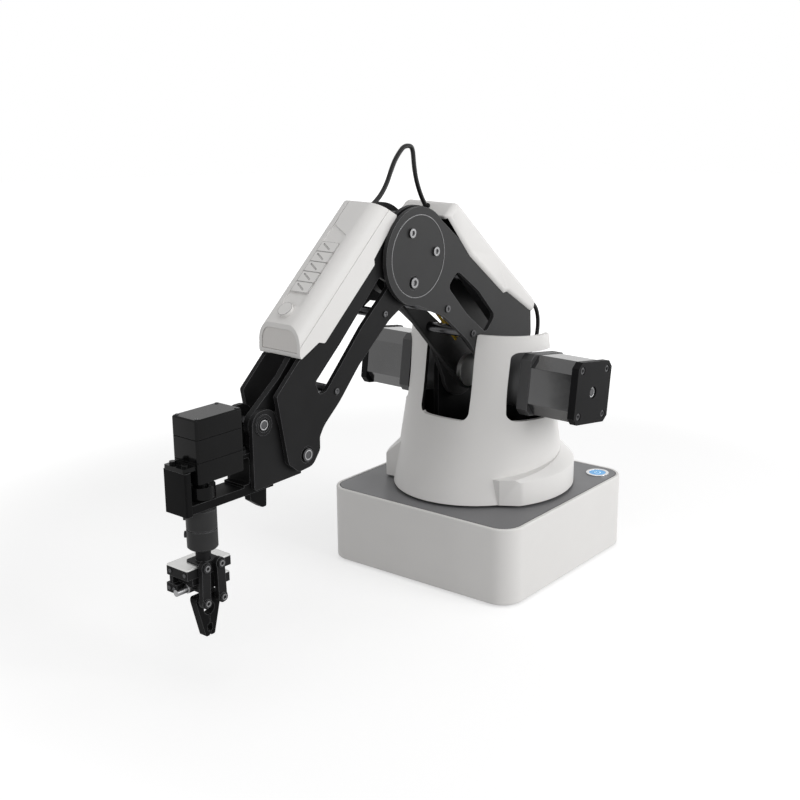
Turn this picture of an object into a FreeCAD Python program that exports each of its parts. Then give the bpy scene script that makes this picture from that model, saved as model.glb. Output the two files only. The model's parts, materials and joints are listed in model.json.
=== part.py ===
"""Desktop robot arm: square base, turning column, two parallel-linked arms, level wrist and air gripper.

Millimetres. The origin is on the column's turning axis at the floor, +X is the base's front,
+Y is the side of the shoulder motor and +Z is up. Pieces above the base are drawn in the arm's
own plane (x forward, y sideways, z up) and are turned by REST_YAW when they are written.
"""
import FreeCAD, Part
import math
import os

Vector = FreeCAD.Vector

# Pose of the arm at rest
REST_YAW = -1.8
SHOULDER_Z = 136.6
REAR_ANGLE = 45.9
FORE_ANGLE = -46.75
REAR_LENGTH = 135.0
FORE_LENGTH = 147.0

# Fits
RUNNING = 0.05
OPEN_PIVOT = 0.4
TOUCH = 0.1

# Base
BASE_HALF = 79.0
BASE_CORNER = 16.0
BASE_BOTTOM = 1.4
BASE_TOP = 55.5
BASE_WALL = 3.0
BASE_TOP_ROUND = 0.9
BASE_LOW_ROUND = 1.5
TOP_PLATE_INSET = 2.4
TOP_PLATE_GROOVE = 0.45
TOP_PLATE_THICK = 2.0
SHELF_THICK = 3.0
FLOOR_PLATE_THICK = 2.0
FOOT_PLACE = 62.0
FOOT_RADIUS = 8.0
FIXING_PLACE = 50.0
FIXING_HOLE = 2.25
BOSS_PLACE = 66.0
BOSS_RADIUS = 5.0
PORT_WIDTH = 90.0
PORT_LOW = 16.0
PORT_HIGH = 42.0
BUTTON_X = -62.0
BUTTON_Y = 63.5
BUTTON_RADIUS = 6.1
BUTTON_TRAVEL = 1.2
BEZEL_RADIUS = 8.3

# Turntable
RING_OUTER = 51.8
RING_BORE = 44.0
RING_WEB = 3.0
RING_LOW = 43.0
FLANGE_RADIUS = 55.0
FLANGE_LOW = 57.3
FLANGE_THICK = 3.0
DRIVE_SHAFT = 4.0

# Column shell: height, half depth and half width of each oval section
COLUMN_SECTIONS = ((57.3, 65.5, 60.5), (75.0, 58.5, 60.0), (95.0, 51.2, 59.6),
                   (115.0, 45.0, 58.0), (143.0, 39.5, 56.5), (171.5, 34.0, 55.0))
COLUMN_WALL = 3.0
WINDOW_HALF = 20.8
REAR_WINDOW_HALF = 24.0
WINDOW_LOW = 112.5
WINDOW_CORNER = 6.0
OPENING_FRONT = 23.5
OPENING_SLANT = 6.0
OPENING_BACK = -24.5
OPENING_LOW = 113.5
OPENING_HIGH = 161.0
WING_REAR = -5.0
WING_LOW = 130.0
SKIRT_RADIUS = 68.5
SKIRT_TOP = 74.0
SKIRT_CORNER_NEAR = (32.8, 61.2)
SKIRT_ROOT_NEAR = (41.6, 47.8)
SKIRT_STEP_FAR = 39.0
SKIRT_NEAR_TOP = 80.4
SKIRT_FALL = 0.13

# Shoulder drives
BRACKET_IN = 22.5
BRACKET_OUT = 26.5
GEARBOX_RADIUS = 19.5
MOTOR_SIDE = 42.3
MOTOR_CORNER = 4.2
MOTOR_STACK_CORNER = 8.5
MOTOR_ROLL = 8.0
MOTOR_FRONT = 48.0
MOTOR_STACK_IN = 56.5
MOTOR_STACK_OUT = 89.0
MOTOR_REAR = 94.2
MOTOR_SCREW = 15.5
SHAFT_RADIUS = 5.0
SHAFT_END = 34.0

# Layers across the arm, measured from its middle plane
REAR_PLATE_IN = 17.3
REAR_PLATE_OUT = 20.3
REAR_COVER_HALF = 21.9
FORE_PLATE_IN = 12.6
FORE_PLATE_OUT = 15.6
FORE_COVER_HALF = 17.0
WRIST_PLATE_IN = 8.6
WRIST_PLATE_OUT = 11.6
LINK_HALF = 3.0
ROD_IN = 4.0
ROD_OUT = 8.0
BELT_IN = 8.8
BELT_OUT = 12.2

# Linkage
PIN_RADIUS = 2.5
ROD_HALF = 3.5
ROD_EYE = 5.0
WRIST_EYE = 8.5
EYE_TAPER = 30.0
LEVEL_LINK_LENGTH = 14.5
LEVEL_LINK_ANGLE = 137.0
FORE_LINK_X = 31.3
FORE_LINK_Z = 25.1
PULLEY_RADIUS = 12.0
BELT_GAP = 0.15
BELT_THICK = 1.6

# Elbow
AXLE_RADIUS = 6.0
DISC_SKIN = 1.2
ELBOW_DRUM = 27.0
DISC_RADIUS = 26.5
RIM_RADIUS = 31.3
FORE_RIM = 32.0
ELBOW_BOLT_CIRCLE = 17.0
ELBOW_BOLT_ANGLES = (66.0, 176.0, 287.0)

# Forearm cover: its top is a straight line that rises away from the elbow
COVER_TOP = 49.7
COVER_RISE = 0.0852
COVER_SLOPE = math.degrees(math.atan(COVER_RISE))
COVER_CORNER = 9.0
COVER_ROOF = 1.6
COVER_SEAM = 9.5
COVER_END_LOW = (105.6, 45.8)
COVER_END_ANGLE = 137.8
PANEL_RIM = 2.3
PANEL_DEPTH = 0.5
PANEL_THICK = 1.0
RECESS_DEPTH = 0.7
FLAP_START = 30.1
FLAP_PITCH = 7.9
FLAP_LENGTH = 7.6
FLAP_HALF = 7.0
FLAP_COUNT = 5
UNLOCK_PLACE = 83.6
UNLOCK_RADIUS = 4.8
UNLOCK_RISE = 2.4

# Wrist and tool
WRIST_PIN = 4.0
SERVO_REAR = 240.5
SERVO_FRONT = 275.2
SERVO_HALF = 10.4
SERVO_LOW = 127.8
SERVO_HIGH = 165.0
SERVO_SEAMS = (140.0, 153.3)
EAR_LOW = 136.2
EAR_THICK = 2.6
EAR_REAR = 233.4
BRACKET_FRONT = 284.0
BRACKET_LOW = 111.2
BRACKET_THICK = 5.0
BRACKET_HALF = 8.5
FRONT_POST = 4.5
FRONT_POST_HALF = 9.4
REAR_POST_FRONT = 240.0
TOOL_X = 266.0
HORN_RADIUS = 9.0
COUPLING_RADIUS = 9.0
COUPLING_LOW = 85.8
COUPLING_HIGH = 110.6
COUPLING_GROOVE = 97.8
COUPLING_SCREW_ANGLE = -51.7
TOOL_SHAFT = 4.5
GRIP_TOP = 78.5
GRIP_PLATE_TOP = 77.6
GRIP_PLATE_THICK = 1.0
GRIP_FAR = -13.2
GRIP_NEAR = 4.6
GRIP_HALF_LENGTH = 16.5
CYLINDER_SPLIT = 71.0
CYLINDER_LEDGE = 66.0
CYLINDER_LOW = 60.4
FITTING_Z = 63.2
FITTING_Y = -2.0
GRIP_PIVOT_HALF = 5.5
GRIP_PIVOT_Z = 76.5
GRIP_PIN = 1.8
GRIP_LINK_IN = 5.2
GRIP_LINK_OUT = 8.4
FINGER_PIVOT_HALF = 6.2
FINGER_PIVOT_Z = 55.2
FINGER_PIN = 1.3
FINGER_HALF = 2.7
FINGER_WIDTH = 9.4
FINGER_TIP_Z = 31.4
FINGER_HEIGHT = 26.0

# Cables: routes as (x, y, z) in the arm's plane
CABLE_RADIUS = 1.5
CABLE_CLEAR = 0.6
REAR_LOOP_ROUTE = ((60.2, 0, 258.9), (64.6, 0, 264.8), (68.6, 0, 272.0), (71.8, 0, 280.0), (73.5, 0, 288.0),
                   (74.2, 0, 294.4), (74.9, 0, 298.3), (76.9, 0, 300.6), (79.9, 0, 300.7))
FRONT_LOOP_ROUTE = ((79.9, 0, 300.7), (83.3, 0, 300.81), (88.0, 0, 297.2), (93.0, 0, 292.0), (97.0, 0, 285.2),
                    (100.8, 0, 278.3), (106.4, 0, 272.0), (112.4, 0, 267.9), (117.0, 0, 265.2))
SHOULDER_ROUTE = ((-36.0, 14, 183.3), (-42.6, 14, 182.3), (-48.0, 14, 178.2), (-51.2, 14, 171.8),
                  (-52.0, 14, 164.0), (-50.6, 14, 156.0), (-46.6, 14, 148.8), (-40.5, 14, 143.5))

X_AXIS = Vector(1, 0, 0)
Y_AXIS = Vector(0, 1, 0)
Z_AXIS = Vector(0, 0, 1)
ORIGIN = Vector(0, 0, 0)


def in_xz(u, v, level):
    """Point of an outline drawn in the arm's plane."""
    return Vector(u, level, v)


def in_yz(u, v, level):
    """Point of an outline seen from the front."""
    return Vector(level, u, v)


def in_xy(u, v, level):
    """Point of an outline seen from above."""
    return Vector(u, v, level)


def rounded_edges(corners):
    """Edges of a closed outline whose corners are (point, radius)."""
    edges = []
    count = len(corners)
    joins = []
    for i in range(count):
        point, radius = corners[i]
        if radius == 0:
            joins.append((point, None, point))
            continue
        back = (corners[i - 1][0] - point).normalize()
        ahead = (corners[(i + 1) % count][0] - point).normalize()
        half = back.getAngle(ahead) / 2
        reach = radius / math.tan(half)
        middle = (back + ahead).normalize()
        nearest = point + middle * (radius / math.sin(half) - radius)
        joins.append((point + back * reach, nearest, point + ahead * reach))
    for i in range(count):
        start, nearest, end = joins[i]
        if nearest is not None:
            edges.append(Part.Arc(start, nearest, end).toShape())
        following = joins[(i + 1) % count][0]
        if end.distanceToPoint(following) > 1e-6:
            edges.append(Part.LineSegment(end, following).toShape())
    return edges


def prism(points, low, high, plane=in_xz):
    """Solid between two levels of an outline of (u, v) or (u, v, corner radius)."""
    corners = [(plane(p[0], p[1], low), p[2] if len(p) > 2 else 0) for p in points]
    face = Part.Face(Part.Wire(rounded_edges(corners)))
    return face.extrude(plane(0, 0, high) - plane(0, 0, low))


def rectangle(u0, u1, v0, v1, radius=0):
    """Corner list of an upright rectangle."""
    return [(u0, v0, radius), (u1, v0, radius), (u1, v1, radius), (u0, v1, radius)]


def block(x0, x1, y0, y1, z0, z1, radius=0):
    """Box with rounded upright edges."""
    return prism(rectangle(x0, x1, y0, y1, radius), z0, z1, in_xy)


def rod_y(x, z, radius, y0, y1):
    """Round bar across the arm."""
    return Part.makeCylinder(radius, y1 - y0, Vector(x, y0, z), Y_AXIS)


def rod_z(x, y, radius, z0, z1):
    """Upright round bar."""
    return Part.makeCylinder(radius, z1 - z0, Vector(x, y, z0), Z_AXIS)


def rod_x(y, z, radius, x0, x1):
    """Round bar along the arm's forward axis."""
    return Part.makeCylinder(radius, x1 - x0, Vector(x0, y, z), X_AXIS)


def join(shapes):
    """One solid from touching shapes."""
    whole = shapes[0]
    if len(shapes) > 1:
        whole = shapes[0].fuse(shapes[1:])
    return whole.removeSplitter()


def cut(shape, tools):
    """Shape with each tool taken away."""
    return shape.cut(tools)


def group(shapes):
    """Separate solids kept in one node."""
    return Part.makeCompound(shapes)


def place(shape, origin, angle):
    """Put a piece drawn along x at an origin (x, z), tilted up by an angle."""
    moved = shape.copy()
    moved.rotate(ORIGIN, Y_AXIS, -angle)
    moved.translate(Vector(origin[0], 0, origin[1]))
    return moved


def polar(origin, length, angle):
    """Point (x, z) at a length and angle from another."""
    turn = math.radians(angle)
    return (origin[0] + length * math.cos(turn), origin[1] + length * math.sin(turn))


SHOULDER = (0.0, SHOULDER_Z)
ELBOW = polar(SHOULDER, REAR_LENGTH, REAR_ANGLE)
WRIST = polar(ELBOW, FORE_LENGTH, FORE_ANGLE)
LEVEL_FOOT = polar(SHOULDER, LEVEL_LINK_LENGTH, LEVEL_LINK_ANGLE)
LEVEL_HEAD = polar(ELBOW, LEVEL_LINK_LENGTH, LEVEL_LINK_ANGLE)
FORE_LINK_TOP = (ELBOW[0] + FORE_LINK_X, ELBOW[1] + FORE_LINK_Z)
WRIST_UPPER = (WRIST[0] + FORE_LINK_X, WRIST[1] + FORE_LINK_Z)


def rod_with_eyes(length, y0, y1, free_eye):
    """Flat bar from its fixed eye at the origin to its free eye along x, which it widens to."""
    bar = prism(rectangle(0, length - EYE_TAPER, -ROD_HALF, ROD_HALF), y0, y1)
    start = length - EYE_TAPER
    taper = prism([(start, -ROD_HALF), (length, -free_eye), (length, free_eye), (start, ROD_HALF)], y0, y1)
    eyes = [rod_y(0, 0, ROD_EYE, y0, y1), rod_y(length, 0, free_eye, y0, y1)]
    bores = [rod_y(0, 0, PIN_RADIUS + RUNNING, y0, y1), rod_y(length, 0, PIN_RADIUS + OPEN_PIVOT, y0, y1)]
    return cut(join([bar, taper] + eyes), bores)


def belt_loop(radius):
    """Solid stadium round both belt pulleys, drawn along x from the shoulder."""
    return join([prism(rectangle(0, REAR_LENGTH, -radius, radius), -BELT_OUT, -BELT_IN),
                 rod_y(0, 0, radius, -BELT_OUT, -BELT_IN), rod_y(REAR_LENGTH, 0, radius, -BELT_OUT, -BELT_IN)])


def base_pieces():
    """Housing, plates, feet, drive and button of the fixed base."""
    plate_half = BASE_HALF - TOP_PLATE_INSET
    plate_corner = BASE_CORNER - TOP_PLATE_INSET
    plate_low = BASE_TOP - TOP_PLATE_THICK
    shelf_low = plate_low - SHELF_THICK
    inner = BASE_HALF - BASE_WALL
    inner_corner = BASE_CORNER - BASE_WALL
    signs = [(sx, sy) for sx in (-1, 1) for sy in (-1, 1)]

    def square(half, corner, low, high):
        return block(-half, half, -half, half, low, high, corner)

    outside = square(BASE_HALF, BASE_CORNER, BASE_BOTTOM, BASE_TOP)
    top_edges = [e for e in outside.Edges if e.BoundBox.ZMin > BASE_TOP - TOUCH]
    outside = outside.makeFillet(BASE_TOP_ROUND, top_edges)
    low_edges = [e for e in outside.Edges if e.BoundBox.ZMax < BASE_BOTTOM + TOUCH]
    outside = outside.makeFillet(BASE_LOW_ROUND, low_edges)
    bezel_hole = rod_z(BUTTON_X, BUTTON_Y, BUTTON_RADIUS + 1.1, shelf_low, BASE_TOP)
    shell = cut(outside, [square(inner, inner_corner, BASE_BOTTOM, shelf_low),
                          square(plate_half, plate_corner, plate_low, BASE_TOP),
                          rod_z(0, 0, RING_OUTER + TOUCH, shelf_low, plate_low),
                          block(-BASE_HALF, -inner, -PORT_WIDTH / 2, PORT_WIDTH / 2, PORT_LOW, PORT_HIGH),
                          bezel_hole])
    floor_top = BASE_BOTTOM + TOUCH + FLOOR_PLATE_THICK
    posts = [rod_z(sx * BOSS_PLACE, sy * BOSS_PLACE, BOSS_RADIUS, floor_top, shelf_low) for sx, sy in signs]
    shell = join([shell] + posts)

    groove = TOP_PLATE_GROOVE
    top_plate = cut(square(plate_half - groove, plate_corner - groove, plate_low, BASE_TOP),
                    [rod_z(0, 0, RING_BORE + 3, plate_low, BASE_TOP), bezel_hole])

    floor_low = BASE_BOTTOM + TOUCH
    fixings = [rod_z(sx * FIXING_PLACE, sy * FIXING_PLACE, FIXING_HOLE, floor_low, floor_top)
               for sx, sy in signs]
    floor_plate = cut(square(inner - TOUCH, inner_corner - TOUCH, floor_low, floor_top), fixings)
    feet = [rod_z(sx * FOOT_PLACE, sy * FOOT_PLACE, FOOT_RADIUS, 0, floor_low) for sx, sy in signs]

    side = PORT_WIDTH / 2 - TOUCH
    panel = block(-BASE_HALF + 0.6, -inner, -side, side, PORT_LOW + TOUCH, PORT_HIGH - TOUCH)
    ports = [block(-BASE_HALF, -inner - 1, y - w / 2, y + w / 2, 24.0, 24.0 + h)
             for y, w, h in ((-34.0, 12.0, 11.0), (-14.0, 18.0, 9.0), (8.0, 18.0, 9.0))]
    ports.append(rod_x(33.0, 29.0, 5.0, -BASE_HALF, -inner - 1))
    panel = cut(panel, ports)

    board_low = floor_top + 1.5
    board = block(-60, 40, -55, 55, board_low, board_low + 1.6, 3)
    stands = [rod_z(x, y, 3.0, floor_top, board_low) for x in (-56, 36) for y in (-44, 44)]
    chips = [block(-58, -44, y - 8, y + 8, board_low + 1.6, board_low + 11) for y in (-34, -14, 8, 33)]
    board = join([board] + stands + chips)

    motor_side = MOTOR_SIDE / 2
    motor = block(-motor_side, motor_side, -motor_side, motor_side, 9.0, RING_LOW, MOTOR_CORNER)
    motor = cut(motor, [rod_z(0, 0, DRIVE_SHAFT + RUNNING, 30.0, RING_LOW)])

    web_top = RING_LOW + RING_WEB
    ring = cut(rod_z(0, 0, RING_OUTER, RING_LOW, plate_low - TOUCH),
               [rod_z(0, 0, RING_BORE, web_top, plate_low), rod_z(0, 0, 11.0, RING_LOW, web_top)])

    bezel = join([rod_z(BUTTON_X, BUTTON_Y, BUTTON_RADIUS + 1.0, shelf_low, BASE_TOP),
                  rod_z(BUTTON_X, BUTTON_Y, BEZEL_RADIUS, BASE_TOP, BASE_TOP + 0.8)])
    bezel = cut(bezel, [rod_z(BUTTON_X, BUTTON_Y, BUTTON_RADIUS + RUNNING, shelf_low, BASE_TOP + 1)])
    button = rod_z(BUTTON_X, BUTTON_Y, BUTTON_RADIUS, shelf_low + BUTTON_TRAVEL, BASE_TOP + 0.6)
    return {"base_shell": shell, "base_top_plate": top_plate, "base_floor_plate": floor_plate,
            "base_feet": group(feet), "rear_port_panel": panel, "control_board": board,
            "base_motor": motor, "turntable_ring": ring, "power_button_bezel": bezel,
            "power_button": button}


def column_solid(inset):
    """Tapering oval column, drawn in from its outside by a wall."""
    wires = []
    for z, depth, width in COLUMN_SECTIONS:
        long_side, short_side = max(depth, width) - inset, min(depth, width) - inset
        oval = Part.Ellipse(ORIGIN, long_side, short_side).toShape()
        if width > depth:
            oval.rotate(ORIGIN, Z_AXIS, 90)
        oval.translate(Vector(0, 0, z))
        wires.append(Part.Wire(oval))
    return Part.makeLoft(wires, True)


def column_shell():
    """White column with its skirt, front and rear windows and motor openings."""
    low = FLANGE_LOW
    high = COLUMN_SECTIONS[-1][0]
    skirt_outline = [(40, low), (SKIRT_RADIUS, low), (SKIRT_RADIUS, SKIRT_TOP, 1.2), (57, 86, 8), (40, 92)]
    corners = [(in_xz(p[0], p[1], 0), p[2] if len(p) > 2 else 0) for p in skirt_outline]
    skirt = Part.Face(Part.Wire(rounded_edges(corners))).revolve(ORIGIN, Z_AXIS, 360)
    run_x, run_y = SKIRT_ROOT_NEAR[0] - SKIRT_CORNER_NEAR[0], SKIRT_ROOT_NEAR[1] - SKIRT_CORNER_NEAR[1]
    near_front = [(SKIRT_CORNER_NEAR[0] - run_x, SKIRT_CORNER_NEAR[1] - run_y), (90, 90), (90, 0),
                  (SKIRT_ROOT_NEAR[0], 0), SKIRT_ROOT_NEAR]
    fall = SKIRT_FALL * 90
    near_fall = [(90, SKIRT_NEAR_TOP - fall), (90, high), (-90, high), (-90, SKIRT_NEAR_TOP + fall)]
    skirt = cut(skirt, [prism(near_front, low, high, in_xy), block(SKIRT_STEP_FAR, 90, -90, 0, low, high),
                        prism(near_fall, 0, 90)])
    outside = join([column_solid(0), skirt])
    hollow = cut(column_solid(COLUMN_WALL), [rod_z(0, 0, 90, low, low + FLANGE_THICK)])
    window = prism([(-WINDOW_HALF, WINDOW_LOW, WINDOW_CORNER), (WINDOW_HALF, WINDOW_LOW, WINDOW_CORNER),
                    (WINDOW_HALF, high + 10), (-WINDOW_HALF, high + 10)], 0, 90, in_yz)
    rear_window = prism([(-REAR_WINDOW_HALF, WINDOW_LOW, WINDOW_CORNER),
                         (REAR_WINDOW_HALF, WINDOW_LOW, WINDOW_CORNER),
                         (REAR_WINDOW_HALF, high + 10), (-REAR_WINDOW_HALF, high + 10)], -90, 0, in_yz)
    opening = prism([(OPENING_BACK, OPENING_LOW, 5), (OPENING_FRONT + OPENING_SLANT, OPENING_LOW, 5),
                     (OPENING_FRONT, OPENING_HIGH, 5), (OPENING_BACK, OPENING_HIGH, 5)], -90, 90)
    behind_wings = block(-90, WING_REAR, -90, 90, WING_LOW, high + 10)
    seat = rod_z(0, 0, FLANGE_RADIUS + TOUCH, low, low + FLANGE_THICK)
    return cut(outside, [hollow, window, rear_window, opening, behind_wings, seat])


def motor_section(side, corner, y0, y1):
    """Square motor slab with cut corners, across the arm."""
    half = side / 2
    near = half - corner
    outline = [(-near, -half), (near, -half), (half, -near), (half, near),
               (near, half), (-near, half), (-half, near), (-half, -near)]
    return prism(outline, y0, y1)


def shoulder_motor():
    """Stack, caps and screws of one shoulder motor on the near side, drawn about its axis."""
    stack = motor_section(MOTOR_SIDE - 0.8, MOTOR_STACK_CORNER, MOTOR_STACK_IN, MOTOR_STACK_OUT)
    front_cap = motor_section(MOTOR_SIDE, MOTOR_CORNER, MOTOR_FRONT, MOTOR_STACK_IN)
    places = [(sx * MOTOR_SCREW, sz * MOTOR_SCREW) for sx in (-1, 1) for sz in (-1, 1)]
    seats = [rod_y(x, z, 2.6, MOTOR_REAR - 2.0, MOTOR_REAR) for x, z in places]
    bore = rod_y(0, 0, 4.0, MOTOR_REAR - 3.0, MOTOR_REAR)
    rear_cap = cut(motor_section(MOTOR_SIDE, MOTOR_CORNER, MOTOR_STACK_OUT, MOTOR_REAR), seats + [bore])
    screws = [cut(rod_y(x, z, 2.4, MOTOR_REAR - 2.0, MOTOR_REAR - 0.4),
                  [rod_y(x, z, 1.2, MOTOR_REAR - 1.2, MOTOR_REAR)]) for x, z in places]
    end = rod_y(0, 0, 2.4, MOTOR_REAR - 3.0, MOTOR_REAR - 1.0)
    pieces = {"stack": [stack], "caps": [front_cap, rear_cap], "screws": screws + [end]}
    return {name: [place(s, SHOULDER, MOTOR_ROLL) for s in shapes] for name, shapes in pieces.items()}


def mirrored(shapes):
    """Copies on the other side of the arm's middle plane."""
    return [s.mirror(ORIGIN, Y_AXIS) for s in shapes]


def column_pieces():
    """Turntable hub, shell, brackets and drives that turn with the column."""
    flange_top = FLANGE_LOW + FLANGE_THICK
    web_top = RING_LOW + RING_WEB
    disc_low = web_top + 0.4
    neck = RING_BORE - RUNNING
    hub = join([rod_z(0, 0, neck, disc_low, FLANGE_LOW), rod_z(0, 0, FLANGE_RADIUS, FLANGE_LOW, flange_top),
                rod_z(0, 0, DRIVE_SHAFT, 31.0, disc_low)])
    lightening = cut(rod_z(0, 0, neck - 4, disc_low + 4, FLANGE_LOW), [rod_z(0, 0, 9, disc_low, FLANGE_LOW)])
    hub = cut(hub, [lightening])

    foot = [(-30, flange_top), (30, flange_top), (30, flange_top + 8, 3), (20, flange_top + 20, 10),
            (20, SHOULDER_Z), (-20, SHOULDER_Z), (-20, flange_top + 20, 10), (-30, flange_top + 8, 3)]
    upright = join([prism(foot, BRACKET_IN, BRACKET_OUT), rod_y(0, SHOULDER_Z, 20, BRACKET_IN, BRACKET_OUT)])
    upright = cut(upright, [rod_y(0, SHOULDER_Z, SHAFT_RADIUS + RUNNING, BRACKET_IN, BRACKET_OUT)])

    foot_x, foot_z = LEVEL_FOOT
    anchor = join([block(foot_x - 6, foot_x + 6, -LINK_HALF, LINK_HALF, flange_top, foot_z),
                   rod_y(foot_x, foot_z, 6, -LINK_HALF, LINK_HALF),
                   rod_y(foot_x, foot_z, PIN_RADIUS, -ROD_OUT - TOUCH, LINK_HALF)])

    gearbox = rod_y(0, SHOULDER_Z, GEARBOX_RADIUS, BRACKET_OUT, MOTOR_FRONT)
    gearbox = cut(gearbox, [rod_y(0, SHOULDER_Z, SHAFT_RADIUS + RUNNING, BRACKET_OUT, SHAFT_END + 1)])
    motor = shoulder_motor()
    return {"turntable_hub": hub, "turret_shell": column_shell(),
            "shoulder_brackets": group([upright] + mirrored([upright])), "rod_anchor": anchor,
            "shoulder_motor_stack": group(motor["stack"]), "shoulder_motor_caps": group(motor["caps"]),
            "shoulder_gearbox": gearbox,
            "elbow_motor_stack": group(mirrored(motor["stack"])),
            "elbow_motor_caps": group(mirrored(motor["caps"])),
            "elbow_gearbox": mirrored([gearbox])[0],
            "motor_screws": group(motor["screws"] + mirrored(motor["screws"]))}


def rear_plate():
    """Near side plate of the rear arm, drawn along x from the shoulder."""
    body = [(135, 31.0), (97, 36.5), (43, 43.5, 4), (9, 54.0, 3), (-6, 41, 8), (-17, 10), (0, -20),
            (45, -6.0, 60), (86, -11.0, 40), (113, -22.5), (135, -20)]
    plate = join([prism(body, REAR_PLATE_IN, REAR_PLATE_OUT),
                  rod_y(REAR_LENGTH, 0, RIM_RADIUS, REAR_PLATE_IN, REAR_PLATE_OUT),
                  rod_y(0, 0, 20, REAR_PLATE_IN, REAR_PLATE_OUT)])
    slot = prism([(97, 5, 4), (96, 19, 4), (68, 24, 12), (40, 24, 4), (40, 9, 4), (66, 5, 20)],
                 REAR_PLATE_IN, REAR_PLATE_OUT)
    return cut(plate, [slot, rod_y(REAR_LENGTH, 0, DISC_RADIUS + RUNNING, REAR_PLATE_IN, REAR_PLATE_OUT)])


def rear_cover():
    """White channel along the back of the rear arm, closed at both ends."""
    outline = [(132, 35.2, 1), (97.4, 33.1, 3), (92.8, 32.9, 3), (43.4, 39.5, 1), (41.1, 42.8, 2),
               (9.1, 50.7, 2), (4.4, 53.8, 2), (8.2, 61.5, 6), (72, 54.8, 90), (130.5, 50.0, 6)]
    channel = prism(outline, -REAR_COVER_HALF, REAR_COVER_HALF)
    inside = REAR_PLATE_OUT + TOUCH
    hollow_outline = [(129.5, 28), (129.5, 40), (125, 47.4, 3), (72, 52.0), (13, 57.8, 2), (7.5, 53.6), (10, 45),
                      (43, 28)]
    hollow = prism(hollow_outline, -inside, inside)
    back_edges = [e for e in channel.Edges if e.BoundBox.YLength < TOUCH and e.BoundBox.XLength > 20
                  and e.CenterOfMass.z > 50]
    channel = channel.makeFillet(4.0, back_edges)
    hole = CABLE_RADIUS + CABLE_CLEAR
    cable_hole = place(rod_x(0, 0, hole, -6, 6), (131, 42.1), 7.4)
    low_hole = place(rod_x(SHOULDER_ROUTE[0][1], 0, hole, -7, 7), (6.3, 59.9), -37.8)
    return cut(channel, [hollow, cable_hole, low_hole])


def rear_arm_pieces():
    """Plates, cover, spacers, shaft, belt and wires of the rear arm."""
    near = rear_plate()
    far = mirrored([near])[0]
    near = cut(near, [rod_y(0, 0, SHAFT_RADIUS, REAR_PLATE_IN, REAR_PLATE_OUT)])
    far = cut(far, [rod_y(0, 0, SHAFT_RADIUS + RUNNING, -REAR_PLATE_OUT, -REAR_PLATE_IN)])
    screwed = ((86.9, -5.6), (52, -0.5))
    spacers = [rod_y(s, p, 3.5, -REAR_PLATE_IN, REAR_PLATE_IN) for s, p in screwed + ((62, 38.5),)]
    head_top = REAR_PLATE_OUT + 1.0
    heads = [cut(rod_y(s, p, 2.4, REAR_PLATE_OUT, head_top), [rod_y(s, p, 1.1, REAR_PLATE_OUT + 0.4, head_top)])
             for s, p in screwed]
    shaft = rod_y(0, 0, SHAFT_RADIUS, 10.0, SHAFT_END)
    wires = [prism(rectangle(24, 98, p - 0.7, p + 0.7), -14.9, -13.5) for p in (8.9, 11.4)]
    belt_inside = PULLEY_RADIUS + BELT_GAP
    belt = cut(belt_loop(belt_inside + BELT_THICK), [belt_loop(belt_inside)])
    pieces = {"rear_plate_near": near, "rear_plate_far": far, "rear_cover": rear_cover(), "drive_belt": belt,
              "rear_spacers": group(spacers + heads + mirrored(heads)), "shoulder_shaft": shaft,
              "arm_wires": group(wires)}
    return {name: place(shape, SHOULDER, REAR_ANGLE) for name, shape in pieces.items()}


def linkage_pieces():
    """Rods that hold the elbow and wrist level, and the pulley that drives the forearm's belt."""
    level_rod = rod_with_eyes(REAR_LENGTH, -ROD_OUT, -ROD_IN, ROD_EYE)
    fore_rod = rod_with_eyes(FORE_LENGTH, ROD_IN, ROD_OUT, WRIST_EYE)
    pulley = join([rod_y(0, 0, PULLEY_RADIUS, -BELT_OUT, -BELT_IN),
                   rod_y(0, 0, SHAFT_RADIUS, -SHAFT_END, -BELT_OUT)])
    return {"rear_link_rod": place(level_rod, LEVEL_FOOT, REAR_ANGLE),
            "drive_pulley": place(pulley, SHOULDER, 0),
            "forearm_link_rod": place(fore_rod, FORE_LINK_TOP, FORE_ANGLE)}


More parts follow.
